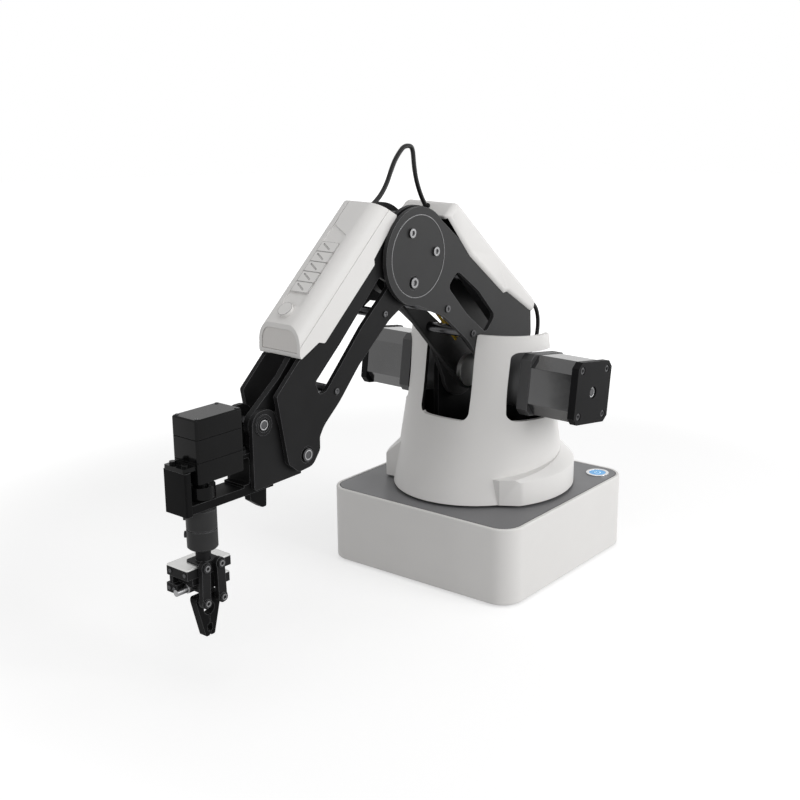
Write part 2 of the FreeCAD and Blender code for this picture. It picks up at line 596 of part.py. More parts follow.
def elbow_pieces():
    """Axle, side discs, level link and screws of the elbow."""
    x, z = ELBOW
    axle_end = REAR_PLATE_OUT - DISC_SKIN
    axle = rod_y(x, z, AXLE_RADIUS, -axle_end, axle_end)
    disc = join([rod_y(x, z, DISC_RADIUS, REAR_PLATE_IN + 0.2, REAR_PLATE_OUT),
                 rod_y(x, z, 11, FORE_PLATE_OUT + TOUCH, REAR_PLATE_IN + 0.2)])
    disc = cut(disc, [axle])
    bolts = [polar(ELBOW, ELBOW_BOLT_CIRCLE, angle) for angle in ELBOW_BOLT_ANGLES]
    seat_x, seat_z = bolts[-1]
    disc = cut(disc, [rod_y(seat_x, seat_z, 4.6, REAR_PLATE_OUT - 0.8, REAR_PLATE_OUT)])
    screws = []
    for bolt_x, bolt_z in bolts[:-1]:
        screws.append(cut(rod_y(bolt_x, bolt_z, 3.0, REAR_PLATE_OUT, REAR_PLATE_OUT + 1.4),
                          [rod_y(bolt_x, bolt_z, 1.5, REAR_PLATE_OUT + 0.5, REAR_PLATE_OUT + 1.4)]))
    screws.append(cut(rod_y(seat_x, seat_z, 3.4, REAR_PLATE_OUT - 0.8, REAR_PLATE_OUT + 1.0),
                      [rod_y(seat_x, seat_z, 1.8, REAR_PLATE_OUT, REAR_PLATE_OUT + 1.0)]))
    level = prism([(x, z), (LEVEL_HEAD[0] - 2, LEVEL_HEAD[1] - 4), (LEVEL_HEAD[0] + 3, LEVEL_HEAD[1] + 4),
                   (FORE_LINK_TOP[0] - 3, FORE_LINK_TOP[1] + 4), (FORE_LINK_TOP[0] + 3, FORE_LINK_TOP[1] - 4)],
                  -LINK_HALF, LINK_HALF)
    bosses = [rod_y(p[0], p[1], r, -LINK_HALF, LINK_HALF)
              for p, r in ((ELBOW, ELBOW_DRUM), (LEVEL_HEAD, 5.0), (FORE_LINK_TOP, 5.0))]
    link = cut(join([level] + bosses), [axle])
    link = join([link, rod_y(LEVEL_HEAD[0], LEVEL_HEAD[1], PIN_RADIUS, -ROD_OUT - TOUCH, 0),
                 rod_y(FORE_LINK_TOP[0], FORE_LINK_TOP[1], PIN_RADIUS, 0, ROD_OUT + TOUCH)])
    return {"elbow_axle": axle, "elbow_discs": group([disc] + mirrored([disc])), "elbow_link": link,
            "elbow_screws": group(screws + mirrored(screws))}


def forearm_plate():
    """Near side plate of the forearm, drawn along x from the elbow."""
    outline = [(-5, 34), (26, 33.5), (88, 36.5), (107, 43.2), (133.3, 45.0, 2), (159.3, 9.6, 5),
               (158.5, -1.0, 5), (149.5, -9.0, 8), (138.8, -8.0, 5), (133, -2.6, 5), (126, -1.2, 20),
               (107, -3.4, 60), (81, -3.4, 60), (44, -8.4, 30), (0, -24)]
    plate = join([prism(outline, FORE_PLATE_IN, FORE_PLATE_OUT),
                  rod_y(0, 0, FORE_RIM, FORE_PLATE_IN, FORE_PLATE_OUT)])
    slot = prism([(26, 6, 3), (61, 10.2, 60), (109, 11.2, 4), (113.5, 15, 3), (110, 23, 3), (80, 20.2, 60),
                  (29, 17.5, 3)], FORE_PLATE_IN, FORE_PLATE_OUT)
    bores = [rod_y(0, 0, AXLE_RADIUS + RUNNING, FORE_PLATE_IN, FORE_PLATE_OUT),
             rod_y(FORE_LENGTH, 0, WRIST_PIN + RUNNING, FORE_PLATE_IN, FORE_PLATE_OUT),
             rod_y(FORE_LENGTH, 0, WRIST_PIN + 1.2, FORE_PLATE_OUT - 0.7, FORE_PLATE_OUT)]
    return cut(plate, [slot] + bores)


def on_cover_top(shape):
    """Put a piece drawn on a flat top onto the cover's sloping top, along x from above the elbow."""
    return place(shape, (0, COVER_TOP), COVER_SLOPE)


def behind_cover_end(start, outer, inner):
    """Layer behind the cover's sloping end face, between two depths, from a height above its foot."""
    layer = prism(rectangle(start, 30, outer, inner), -FORE_COVER_HALF, FORE_COVER_HALF)
    return place(layer, COVER_END_LOW, COVER_END_ANGLE)


def cover_arch(inset, drop):
    """Long bar with the cover's arched section, in from its sides and down from its top."""
    start, run = -20.0, 140.0
    half = FORE_COVER_HALF - inset
    radius = COVER_CORNER - inset
    foot = -40.0
    outline = [(-half, foot), (half, foot), (half, COVER_TOP - drop, radius), (-half, COVER_TOP - drop, radius)]
    corners = [(in_yz(p[0], p[1], 0), p[2] if len(p) > 2 else 0) for p in outline]
    bar = Part.Face(Part.Wire(rounded_edges(corners))).extrude(Vector(run, 0, run * COVER_RISE))
    bar.translate(Vector(start, 0, start * COVER_RISE))
    return bar


def forearm_cover():
    """White arched cover along the top of the forearm, with its seams, recess, button hole and end pocket."""
    outline = [(-8.5, 30.9, 1), (24.6, 30.4, 1), (26.8, 27.6, 2), (88.0, 33.0, 2), (90.4, 37.6, 2),
               (106.6, 43.6, 1), COVER_END_LOW, (85.9, 63.7), (0.1, 63.7)]
    body = prism(outline, -FORE_COVER_HALF - 1, FORE_COVER_HALF + 1).common(cover_arch(0, 0))
    inside_outline = [(-20, 20), (103, 20), (103, 43.2), (84.5, 60), (-20, 60)]
    inside = prism(inside_outline, -FORE_COVER_HALF, FORE_COVER_HALF)
    hollow = inside.common(cover_arch(FORE_COVER_HALF - FORE_PLATE_OUT - TOUCH, COVER_ROOF))
    rod_notch = block(98, 110, -ROD_OUT - 1, ROD_OUT + 1, 30, 44.4)
    seam = block(-15, 125, FORE_COVER_HALF - 0.3, FORE_COVER_HALF + 1, -COVER_SEAM - 0.2, -COVER_SEAM + 0.2)
    lid_seam = block(-3, 8.5, -7.7, -7.3, -0.4, 1)
    recess = prism([(7.5, -7.6), (15.9, -6.4), (23.1, 7.2), (78.8, 7.6), (79.3, -7.6)], -RECESS_DEPTH, 3, in_xy)
    button_hole = rod_z(UNLOCK_PLACE, 0, UNLOCK_RADIUS + RUNNING, -6, 3)
    pocket = behind_cover_end(1.2, -1, PANEL_DEPTH + PANEL_THICK).common(cover_arch(PANEL_RIM, PANEL_RIM))
    top_cuts = [on_cover_top(s) for s in [seam, lid_seam, recess, button_hole] + mirrored([seam])]
    return cut(body, [hollow, rod_notch, pocket] + top_cuts)


def socket_flap(start):
    """One square socket flap with its slanting groove, drawn on the cover's top."""
    flap = block(start, start + FLAP_LENGTH, -FLAP_HALF, FLAP_HALF, -RECESS_DEPTH, 0.5, 1)
    slash = [(start + 1.4, -4.6), (start + 2.2, -4.6), (start + 6.1, 2.3), (start + 5.3, 2.3)]
    groove = prism(slash, 0.1, 1, in_xy)
    return on_cover_top(cut(flap, [groove]))


def forearm_pieces():
    """Plates, cover, end panel, socket flaps, pulley and spacers of the forearm."""
    near = forearm_plate()
    far = mirrored([near])[0]
    pulley = join([rod_y(0, 0, PULLEY_RADIUS, -BELT_OUT, -BELT_IN),
                   rod_y(0, 0, PULLEY_RADIUS - 2, -FORE_PLATE_IN, -BELT_OUT)])
    pulley = cut(pulley, [rod_y(0, 0, AXLE_RADIUS + RUNNING, -FORE_PLATE_IN, -BELT_IN)])
    panel_inset = PANEL_RIM + TOUCH
    panel = behind_cover_end(1.2 + TOUCH, PANEL_DEPTH, PANEL_DEPTH + PANEL_THICK)
    panel = panel.common(cover_arch(panel_inset, panel_inset))
    flaps = [socket_flap(FLAP_START + FLAP_PITCH * i) for i in range(FLAP_COUNT)]
    spacers = [rod_y(a, b, 3.0, -FORE_PLATE_IN, FORE_PLATE_IN) for a, b in ((43.3, -2.5), (104, 3.4))]
    button = on_cover_top(rod_z(UNLOCK_PLACE, 0, UNLOCK_RADIUS, -5, UNLOCK_RISE))
    pieces = {"forearm_plate_near": near, "forearm_plate_far": far, "forearm_cover": forearm_cover(),
              "forearm_end_panel": panel, "socket_flaps": group(flaps), "forearm_spacers": group(spacers),
              "elbow_pulley": pulley, "unlock_button": button}
    return {name: place(shape, ELBOW, FORE_ANGLE) for name, shape in pieces.items()}


def wrist_side_plates():
    """Both wrist side plates with a raised ring at the upper pivot."""
    x, z = WRIST
    top_x, top_z = WRIST_UPPER
    outline = [(x + 39.9, z - 13.1, 2), (x + 39.9, z + 33.7, 8.4), (x + 22.9, z + 33.7, 8.4),
               (x + 18.8, z + 21.5, 12), (x + 10.3, z + 10.5, 10), (x - 8.0, z + 6.0, 7),
               (x - 7.0, z - 7.0, 6), (x + 1.6, z - 7.6, 1), (x + 1.6, z - 12.1, 0.5)]
    ring = cut(rod_y(top_x, top_z, 6.3, WRIST_PLATE_OUT, WRIST_PLATE_OUT + 0.9),
               [rod_y(top_x, top_z, 4.3, WRIST_PLATE_OUT, WRIST_PLATE_OUT + 0.9)])
    plate = join([prism(outline, WRIST_PLATE_IN, WRIST_PLATE_OUT), ring])
    bores = [rod_y(x, z, WRIST_PIN, WRIST_PLATE_IN, WRIST_PLATE_OUT),
             rod_y(top_x, top_z, PIN_RADIUS, WRIST_PLATE_IN, WRIST_PLATE_OUT)]
    plate = cut(plate, bores)
    return [plate] + mirrored([plate])


def servo_bracket():
    """Bracket between the wrist plates that carries the servo, with its cable hook below."""
    x, z = WRIST
    beam_top = BRACKET_LOW + BRACKET_THICK
    spine = join([block(x + 28, x + 39, -WRIST_PLATE_IN, WRIST_PLATE_IN, BRACKET_LOW + 3, EAR_LOW - 2),
                  block(x + 34, REAR_POST_FRONT, -BRACKET_HALF, BRACKET_HALF, BRACKET_LOW, EAR_LOW),
                  block(x + 22, BRACKET_FRONT, -BRACKET_HALF, BRACKET_HALF, BRACKET_LOW, beam_top),
                  block(BRACKET_FRONT - FRONT_POST, BRACKET_FRONT, -FRONT_POST_HALF, FRONT_POST_HALF,
                        BRACKET_LOW - 0.7, EAR_LOW, 1)])
    window = prism(rectangle(x + 40.6, REAR_POST_FRONT + 4, beam_top + 1.5, EAR_LOW - 2.4, 1.6), -20, 20)
    hook = prism([(x + 22, BRACKET_LOW + 1), (x + 22.6, z - 29, 1), (x + 26, z - 29, 1.5), (x + 35, z - 22.5, 1),
                  (x + 36, BRACKET_LOW + 1)], -2.5, 2.5)
    bore = rod_z(TOOL_X, 0, TOOL_SHAFT + RUNNING, BRACKET_LOW, beam_top)
    return cut(join([spine, hook]), [window, bore])


def servo_case():
    """Three-part servo housing with its mounting ears and their screws."""
    case = block(SERVO_REAR, SERVO_FRONT, -SERVO_HALF, SERVO_HALF, SERVO_LOW, SERVO_HIGH, 1.5)
    rim = [e for e in case.Edges if e.BoundBox.ZMin > SERVO_HIGH - TOUCH]
    case = case.makeChamfer(0.8, rim)
    grooves = []
    core = SERVO_HALF - 0.5
    for seam in SERVO_SEAMS:
        outer = block(SERVO_REAR - 1, SERVO_FRONT + 1, -SERVO_HALF - 1, SERVO_HALF + 1, seam, seam + 0.5)
        inner = block(SERVO_REAR + 0.5, SERVO_FRONT - 0.5, -core, core, seam, seam + 0.5)
        grooves.append(cut(outer, [inner]))
    case = cut(case, grooves + [rod_z(TOOL_X, 0, 3.0 + RUNNING, SERVO_LOW, SERVO_LOW + 5)])
    ear_top = EAR_LOW + EAR_THICK
    ears = block(EAR_REAR, BRACKET_FRONT, -BRACKET_HALF, BRACKET_HALF, EAR_LOW, ear_top, 1)
    screws = [rod_z(x, y, 1.9, ear_top, ear_top + 1.6)
              for x in (BRACKET_FRONT - 3.8, EAR_REAR + 3.4) for y in (-5.2, 5.2)]
    return join([case, cut(ears, [rod_z(TOOL_X, 0, 6, EAR_LOW, ear_top)])] + screws)


def wrist_pieces():
    """Side plates, pins, bracket and servo that stay level at the arm's end."""
    x, z = WRIST
    top_x, top_z = WRIST_UPPER
    lower = rod_y(x, z, WRIST_PIN, -FORE_PLATE_OUT - 1, FORE_PLATE_OUT + 1)
    head = WRIST_PLATE_OUT + 0.6
    upper = join([rod_y(top_x, top_z, PIN_RADIUS, -WRIST_PLATE_OUT, WRIST_PLATE_OUT),
                  rod_y(top_x, top_z, 3.2, WRIST_PLATE_OUT, head),
                  rod_y(top_x, top_z, 3.2, -head, -WRIST_PLATE_OUT)])
    return {"wrist_plates": group(wrist_side_plates()), "wrist_pins": group([lower, upper]),
            "servo_bracket": servo_bracket(), "servo_case": servo_case()}


def tool_pieces():
    """Horn, coupling, gripper body, air cylinder and hose fitting that turn with the tool."""
    deck = BRACKET_LOW + BRACKET_THICK
    horn = join([rod_z(TOOL_X, 0, HORN_RADIUS, deck + 0.6, deck + 8),
                 rod_z(TOOL_X, 0, 5.0, deck + 8, SERVO_LOW - 0.3),
                 rod_z(TOOL_X, 0, 3.0, SERVO_LOW - 0.3, SERVO_LOW + 4),
                 rod_z(TOOL_X, 0, TOOL_SHAFT, COUPLING_HIGH, deck + 0.6)])
    coupling = rod_z(TOOL_X, 0, COUPLING_RADIUS, COUPLING_LOW, COUPLING_HIGH)
    rims = [e for e in coupling.Edges if e.BoundBox.ZLength < TOUCH]
    coupling = coupling.makeChamfer(1.0, rims)
    groove = cut(rod_z(TOOL_X, 0, COUPLING_RADIUS + 1, COUPLING_GROOVE - 0.4, COUPLING_GROOVE + 0.4),
                 [rod_z(TOOL_X, 0, COUPLING_RADIUS - 0.8, COUPLING_GROOVE - 0.4, COUPLING_GROOVE + 0.4)])
    coupling = cut(coupling, [groove, rod_z(TOOL_X, 0, TOOL_SHAFT, COUPLING_LOW, COUPLING_GROOVE)])
    screws = [rod_x(0, height, 2.0, TOOL_X + COUPLING_RADIUS - 1.5, TOOL_X + COUPLING_RADIUS + 1.2)
              for height in (COUPLING_HIGH - 6.4, COUPLING_LOW + 7.8)]
    for screw in screws:
        screw.rotate(Vector(TOOL_X, 0, 0), Z_AXIS, COUPLING_SCREW_ANGLE)
    coupling = join([coupling] + screws)

    cap = block(TOOL_X - 8.2, TOOL_X + 7.6, -7.2, GRIP_LINK_IN - 0.3, CYLINDER_SPLIT, GRIP_TOP, 2)
    pivots = (TOOL_X - GRIP_PIVOT_HALF, TOOL_X + GRIP_PIVOT_HALF)
    pins = [rod_y(x, GRIP_PIVOT_Z, GRIP_PIN, GRIP_LINK_IN - 0.3, GRIP_LINK_OUT + TOUCH) for x in pivots]
    heads = [rod_y(x, GRIP_PIVOT_Z, 2.5, GRIP_LINK_OUT + TOUCH, GRIP_LINK_OUT + 1.3) for x in pivots]
    gripper = join([cap, rod_z(TOOL_X, 0, TOOL_SHAFT, GRIP_TOP, COUPLING_GROOVE)] + pins + heads)

    rear, front = TOOL_X - GRIP_HALF_LENGTH, TOOL_X + GRIP_HALF_LENGTH
    plate_low = GRIP_PLATE_TOP - GRIP_PLATE_THICK
    step = TOOL_X + 7
    low_near, low_far = GRIP_NEAR - 1.6, GRIP_FAR - 0.8
    cylinder = join([block(rear, front, GRIP_FAR, GRIP_NEAR, CYLINDER_SPLIT, plate_low),
                     block(rear + 5.5, front - 5, GRIP_FAR + 1.5, low_near, CYLINDER_LEDGE, CYLINDER_SPLIT),
                     block(front - 5, front - 0.5, GRIP_FAR + 1.5, -9.0, CYLINDER_LEDGE, CYLINDER_SPLIT),
                     block(rear, step, low_far, low_near, CYLINDER_LOW, CYLINDER_LEDGE),
                     block(rear, front, low_far, -5.0, CYLINDER_LOW, CYLINDER_LEDGE)])
    cylinder = cut(cylinder, [cap])
    cover = cut(block(rear, front, GRIP_FAR, GRIP_NEAR, plate_low, GRIP_PLATE_TOP, 1), [cap])
    ledge = block(rear, rear + 5.4, low_far, low_near, CYLINDER_LEDGE, CYLINDER_LEDGE + 0.6)
    fitting = join([rod_x(FITTING_Y, FITTING_Z, 2.7, step, step + 5),
                    rod_x(FITTING_Y, FITTING_Z, 2.0, step + 5, step + 13)])
    return {"servo_horn": horn, "tool_coupling": coupling, "gripper_body": gripper, "air_cylinder": cylinder,
            "cylinder_cover": group([cover, ledge]), "air_fitting": fitting}


def grip_link():
    """Front gripper link hanging from its pivot, with its lower screw."""
    top = (TOOL_X + GRIP_PIVOT_HALF, GRIP_PIVOT_Z)
    low = (TOOL_X + FINGER_PIVOT_HALF, FINGER_PIVOT_Z)
    bar = prism([(top[0] - 3, top[1]), (low[0] - 3, low[1]), (low[0] + 3, low[1]), (top[0] + 3, top[1])],
                GRIP_LINK_IN, GRIP_LINK_OUT)
    eyes = [rod_y(p[0], p[1], 3.4, GRIP_LINK_IN, GRIP_LINK_OUT) for p in (top, low)]
    link = cut(join([bar] + eyes), [rod_y(top[0], top[1], GRIP_PIN + RUNNING, GRIP_LINK_IN, GRIP_LINK_OUT)])
    pin = rod_y(low[0], low[1], FINGER_PIN, -FINGER_HALF, GRIP_LINK_IN)
    collar = rod_y(low[0], low[1], 2.2, FINGER_HALF + TOUCH, GRIP_LINK_IN)
    head = rod_y(low[0], low[1], 2.5, GRIP_LINK_OUT, GRIP_LINK_OUT + 1.2)
    return join([link, pin, collar, head])


def grip_finger():
    """Front gripper finger: notched jaw that tapers to its tip."""
    tip = FINGER_TIP_Z
    top = tip + FINGER_HEIGHT
    outline = [(0.35, tip, 0.6), (3.4, tip, 1.2), (FINGER_WIDTH, top - 3, 2), (FINGER_WIDTH, top, 1.5),
               (0.35, top, 1)]
    jaw = prism([(TOOL_X + p[0],) + p[1:] for p in outline], -FINGER_HALF, FINGER_HALF)
    notch = rod_y(TOOL_X, tip + 17.2, 4.0, -FINGER_HALF, FINGER_HALF)
    tip_hole = rectangle(TOOL_X - 1.9, TOOL_X + 1.9, tip + 2.75, tip + 7.45, 1.2)
    tip_notch = prism(tip_hole, -FINGER_HALF, FINGER_HALF)
    bore = rod_y(TOOL_X + FINGER_PIVOT_HALF, FINGER_PIVOT_Z, FINGER_PIN + RUNNING, -FINGER_HALF, FINGER_HALF)
    return cut(jaw, [notch, tip_notch, bore])


def gripper_pieces():
    """Both links and both fingers."""
    middle = Vector(TOOL_X, 0, 0)
    link = grip_link()
    finger = grip_finger()
    return {"grip_link_front": link, "grip_link_rear": link.mirror(middle, X_AXIS),
            "finger_front": finger, "finger_rear": finger.mirror(middle, X_AXIS)}


def cable(route):
    """Round cable along straight runs joined by the widest tangent arcs that fit."""
    points = [Vector(*p) for p in route]
    edges = []
    start = points[0]
    radii = []
    for before, point, after in zip(points, points[1:], points[2:]):
        back = (before - point).normalize()
        ahead = (after - point).normalize()
        half = back.getAngle(ahead) / 2
        reach = 0.45 * min(before.distanceToPoint(point), after.distanceToPoint(point))
        radius = reach * math.tan(half)
        radii.append(round(radius, 1))
        middle = (back + ahead).normalize()
        nearest = point + middle * (radius / math.sin(half) - radius)
        edges.append(Part.LineSegment(start, point + back * reach).toShape())
        edges.append(Part.Arc(point + back * reach, nearest, point + ahead * reach).toShape())
        start = point + ahead * reach
    edges.append(Part.LineSegment(start, points[-1]).toShape())
    path = Part.Wire(edges)
    ring = Part.Wire(Part.Circle(points[0], points[1] - points[0], CABLE_RADIUS).toShape())
    tube = path.makePipeShell([ring], True, True)
    expected = math.pi * CABLE_RADIUS ** 2 * path.Length
    ratio = round(tube.Volume / expected, 4)
    print("cable length", round(path.Length, 1), "radii", radii, "volume ratio", ratio)
    return tube


def cable_pieces():
    """The loop over the elbow in two halves and the cable into the column."""
    return {"elbow_cable_rear": cable(REAR_LOOP_ROUTE), "elbow_cable_front": cable(FRONT_LOOP_ROUTE),
            "shoulder_cable": cable(SHOULDER_ROUTE)}


def write(pieces, yaw):
    """Write each piece as its own file, turned about the column's axis."""
    for name, shape in pieces.items():
        turned = shape.copy()
        turned.rotate(ORIGIN, Z_AXIS, yaw)
        if not turned.isValid():
            print("invalid shape", name)
        turned.exportStep("parts/%s.step" % name)


def main():
    """Build every piece and write the files."""
    os.makedirs("parts", exist_ok=True)
    write(base_pieces(), 0)
    for make in (column_pieces, rear_arm_pieces, linkage_pieces, elbow_pieces, forearm_pieces, wrist_pieces,
                 tool_pieces, gripper_pieces, cable_pieces):
        write(make(), REST_YAW)


main()
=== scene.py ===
"""Desktop robot arm in a white studio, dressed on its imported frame.

Metres, in the frame's own axes: +X is the base's front, +Y the shoulder motor's side, +Z up. Sizes and
places are written in millimetres and go through mm(), or through arm_point() where they lie in the arm's
middle plane, which is turned about Z by REST_YAW.
"""
import json
import logging
import math
from dataclasses import dataclass, field
from enum import Enum
from typing import Callable, Dict, List, Sequence, Tuple

import bpy
from mathutils import Matrix, Vector


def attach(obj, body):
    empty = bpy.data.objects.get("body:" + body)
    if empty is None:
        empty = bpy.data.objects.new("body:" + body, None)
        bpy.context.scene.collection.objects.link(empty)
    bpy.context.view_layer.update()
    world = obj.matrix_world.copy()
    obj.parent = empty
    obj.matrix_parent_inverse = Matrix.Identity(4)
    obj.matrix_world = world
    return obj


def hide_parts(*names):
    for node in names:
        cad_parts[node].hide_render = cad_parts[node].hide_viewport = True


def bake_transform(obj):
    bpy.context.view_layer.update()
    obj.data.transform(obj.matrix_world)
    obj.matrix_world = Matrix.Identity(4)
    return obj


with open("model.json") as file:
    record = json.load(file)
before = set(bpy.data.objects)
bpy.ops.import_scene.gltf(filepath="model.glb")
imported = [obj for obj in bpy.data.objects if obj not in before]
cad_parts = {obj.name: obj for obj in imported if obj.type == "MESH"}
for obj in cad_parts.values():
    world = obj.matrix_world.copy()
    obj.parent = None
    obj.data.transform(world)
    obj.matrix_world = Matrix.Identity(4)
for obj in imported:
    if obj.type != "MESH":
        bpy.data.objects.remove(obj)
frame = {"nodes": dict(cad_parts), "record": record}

LOG = logging.getLogger("robot_arm")
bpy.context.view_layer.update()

Colour = Tuple[float, float, float]
Point = Tuple[float, float, float]

MILLIMETRE = 0.001
REST_YAW = math.radians(-1.8)
PHOTO_PIXELS = 800

CLOUD_DETAIL = 5.0
CLOUD_LOW, CLOUD_HIGH = 0.3, 0.7
SMOOTHEST = 0.03
EDGE_SAMPLES = 6
EDGE_START, EDGE_FULL = 0.985, 0.80
MIX_FACTOR, MIX_FIRST, MIX_SECOND, MIX_RESULT = 0, 6, 7, 2
STACK_WANDER = 0.6
RELIEF_DETAIL = 3.0
RELIEF_STRENGTH = 0.35

FACES_ALONG = 0.9
SOFTEN_ANGLE = math.radians(32)
SMOOTH_ANGLE = math.radians(35)
CABLE_SMOOTH_ANGLE = math.radians(40)


def mm(value: float) -> float:
    """A length in metres."""
    return value * MILLIMETRE


def arm_point(x: float, y: float, z: float) -> Vector:
    """Turn a place in the arm's plane into the frame's axes.

    Args:
        x: Distance forward from the column's axis, in millimetres.
        y: Distance towards the shoulder motor's side, in millimetres.
        z: Height above the floor, in millimetres.

    Returns:
        The point in metres.
    """
    turn = Matrix.Rotation(REST_YAW, 3, "Z")
    return turn @ Vector((mm(x), mm(y), mm(z)))


class Axis(Enum):
    """Direction that a round piece faces in the arm's plane."""

    FORWARD = (1.0, 0.0, 0.0)
    NEAR = (0.0, 1.0, 0.0)
    FAR = (0.0, -1.0, 0.0)
    UP = (0.0, 0.0, 1.0)

    def world(self) -> Vector:
        """The direction in the frame's axes."""
        return Matrix.Rotation(REST_YAW, 3, "Z") @ Vector(self.value)


class Lay(Enum):
    """How a surface's fine marks run."""

    GRAIN = "grain"
    BRUSHED = "brushed"
    STACKED = "stacked"


@dataclass(frozen=True)
class Finish:
    """One surface finish: mottled colour, uneven gloss, fine relief and edges of another colour.

    Lengths are in metres and scales are in marks per metre. The edge colour is painted light: light edges
    are a painted highlight, and dark edges are painted shade in seams and gaps.
    """

    name: str
    colour: Colour
    roughness: float
    specular: float = 0.5
    metallic: float = 0.0
    mottle: float = 0.06
    mottle_scale: float = 45.0
    gloss_spread: float = 0.06
    relief_scale: float = 2600.0
    relief_depth: float = 0.00002
    lay: Lay = Lay.GRAIN
    brush: Point = (1.0, 40.0, 40.0)
    glow: float = 0.0
    edge: float = 0.0003
    # Edge colour blended in by the bevel mask: a light colour is a painted highlight, a dark colour is
    # painted shade in seams and gaps.
    wear: float = 0.0
    wear_colour: Colour = (0.30, 0.30, 0.31)
    wear_width: float = 0.0005

    def material(self) -> bpy.types.Material:
        """Build the finish once and reuse it.

        Returns:
            The node material.
        """
        found = bpy.data.materials.get(self.name)
        if found is not None:
            return found
        made = bpy.data.materials.new(self.name)
        made.use_nodes = True
        tree = made.node_tree
        shader = tree.nodes["Principled BSDF"]
        shader.inputs["Metallic"].default_value = self.metallic
        shader.inputs["Specular IOR Level"].default_value = self.specular
        if self.glow > 0:
            shader.inputs["Emission Color"].default_value = (*self.colour, 1.0)
            shader.inputs["Emission Strength"].default_value = self.glow
        place = tree.nodes.new("ShaderNodeTexCoord")
        self._colour_nodes(tree, shader, place)
        self._relief_nodes(tree, shader, place)
        made.diffuse_color = (*self.colour, 1.0)
        return made

    def _colour_nodes(self, tree: bpy.types.NodeTree, shader: bpy.types.Node,
                      place: bpy.types.Node) -> None:
        """Mottle the colour and the gloss.

        Args:
            tree: The material's nodes.
            shader: The surface shader.
            place: The texture coordinate node.
        """
        cloud = tree.nodes.new("ShaderNodeTexNoise")
        cloud.inputs["Scale"].default_value = self.mottle_scale
        cloud.inputs["Detail"].default_value = CLOUD_DETAIL
        tree.links.new(place.outputs["Object"], cloud.inputs["Vector"])
        ramp = tree.nodes.new("ShaderNodeValToRGB")
        ramp.color_ramp.elements[0].position = CLOUD_LOW
        ramp.color_ramp.elements[1].position = CLOUD_HIGH
        dark = [c * (1 - self.mottle) for c in self.colour]
        light = [min(1.0, c * (1 + self.mottle)) for c in self.colour]
        ramp.color_ramp.elements[0].color = (*dark, 1.0)
        ramp.color_ramp.elements[1].color = (*light, 1.0)
        tree.links.new(cloud.outputs["Fac"], ramp.inputs["Fac"])
        # Edges painted in the finish's edge colour: painted highlight on black metal, painted shade on the
        # seamed plastics and the grey plate.
        colour = self._worn(tree, ramp.outputs["Color"]) if self.wear > 0 else ramp.outputs["Color"]
        tree.links.new(colour, shader.inputs["Base Color"])
        gloss = tree.nodes.new("ShaderNodeMapRange")
        gloss.inputs["From Min"].default_value = CLOUD_LOW
        gloss.inputs["From Max"].default_value = CLOUD_HIGH
        gloss.inputs["To Min"].default_value = max(SMOOTHEST, self.roughness - self.gloss_spread)
        gloss.inputs["To Max"].default_value = min(1.0, self.roughness + self.gloss_spread)
        tree.links.new(cloud.outputs["Fac"], gloss.inputs["Value"])
        tree.links.new(gloss.outputs["Result"], shader.inputs["Roughness"])

    def _worn(self, tree: bpy.types.NodeTree, colour: bpy.types.NodeSocket) -> bpy.types.NodeSocket:
        """Paint the edge colour along the edges: a painted highlight on the black finishes, painted shade
        on the others that use it.

        Args:
            tree: The material's nodes.
            colour: The colour of the whole surface.

        Returns:
            The colour with its painted edges.
        """
        flat = tree.nodes.new("ShaderNodeNewGeometry")
        rounded = tree.nodes.new("ShaderNodeBevel")
        rounded.samples = EDGE_SAMPLES
        rounded.inputs["Radius"].default_value = self.wear_width
        lean = tree.nodes.new("ShaderNodeVectorMath")
        lean.operation = "DOT_PRODUCT"
        tree.links.new(flat.outputs["Normal"], lean.inputs[0])
        tree.links.new(rounded.outputs["Normal"], lean.inputs[1])
        amount = tree.nodes.new("ShaderNodeMapRange")
        amount.inputs["From Min"].default_value = EDGE_START
        amount.inputs["From Max"].default_value = EDGE_FULL
        amount.inputs["To Min"].default_value = 0.0
        amount.inputs["To Max"].default_value = self.wear
        tree.links.new(lean.outputs["Value"], amount.inputs["Value"])
        blend = tree.nodes.new("ShaderNodeMix")
        blend.data_type = "RGBA"
        blend.inputs[MIX_SECOND].default_value = (*self.wear_colour, 1.0)
        tree.links.new(amount.outputs["Result"], blend.inputs[MIX_FACTOR])
        tree.links.new(colour, blend.inputs[MIX_FIRST])
        return blend.outputs[MIX_RESULT]

    def _relief_nodes(self, tree: bpy.types.NodeTree, shader: bpy.types.Node,
                      place: bpy.types.Node) -> None:
        """Add the fine relief that the lay describes.

        Args:
            tree: The material's nodes.
            shader: The surface shader.
            place: The texture coordinate node.
        """
        source = place.outputs["Object"]
        if self.lay is not Lay.GRAIN:
            turned = tree.nodes.new("ShaderNodeMapping")
            turned.inputs["Rotation"].default_value = (0.0, 0.0, -REST_YAW)
            turned.inputs["Scale"].default_value = self.brush
            tree.links.new(source, turned.inputs["Vector"])
            source = turned.outputs["Vector"]
        if self.lay is Lay.STACKED:
            marks = tree.nodes.new("ShaderNodeTexWave")
            marks.bands_direction = "Y"
            marks.inputs["Distortion"].default_value = STACK_WANDER
        else:
            marks = tree.nodes.new("ShaderNodeTexNoise")
            marks.inputs["Detail"].default_value = RELIEF_DETAIL
        marks.inputs["Scale"].default_value = self.relief_scale
        tree.links.new(source, marks.inputs["Vector"])
        bump = tree.nodes.new("ShaderNodeBump")
        bump.inputs["Strength"].default_value = RELIEF_STRENGTH
        bump.inputs["Distance"].default_value = self.relief_depth
        tree.links.new(marks.outputs["Fac"], bump.inputs["Height"])
        rounding = tree.nodes.new("ShaderNodeBevel")
        rounding.samples = EDGE_SAMPLES
        rounding.inputs["Radius"].default_value = self.edge
        tree.links.new(rounding.outputs["Normal"], bump.inputs["Normal"])
        tree.links.new(bump.outputs["Normal"], shader.inputs["Normal"])


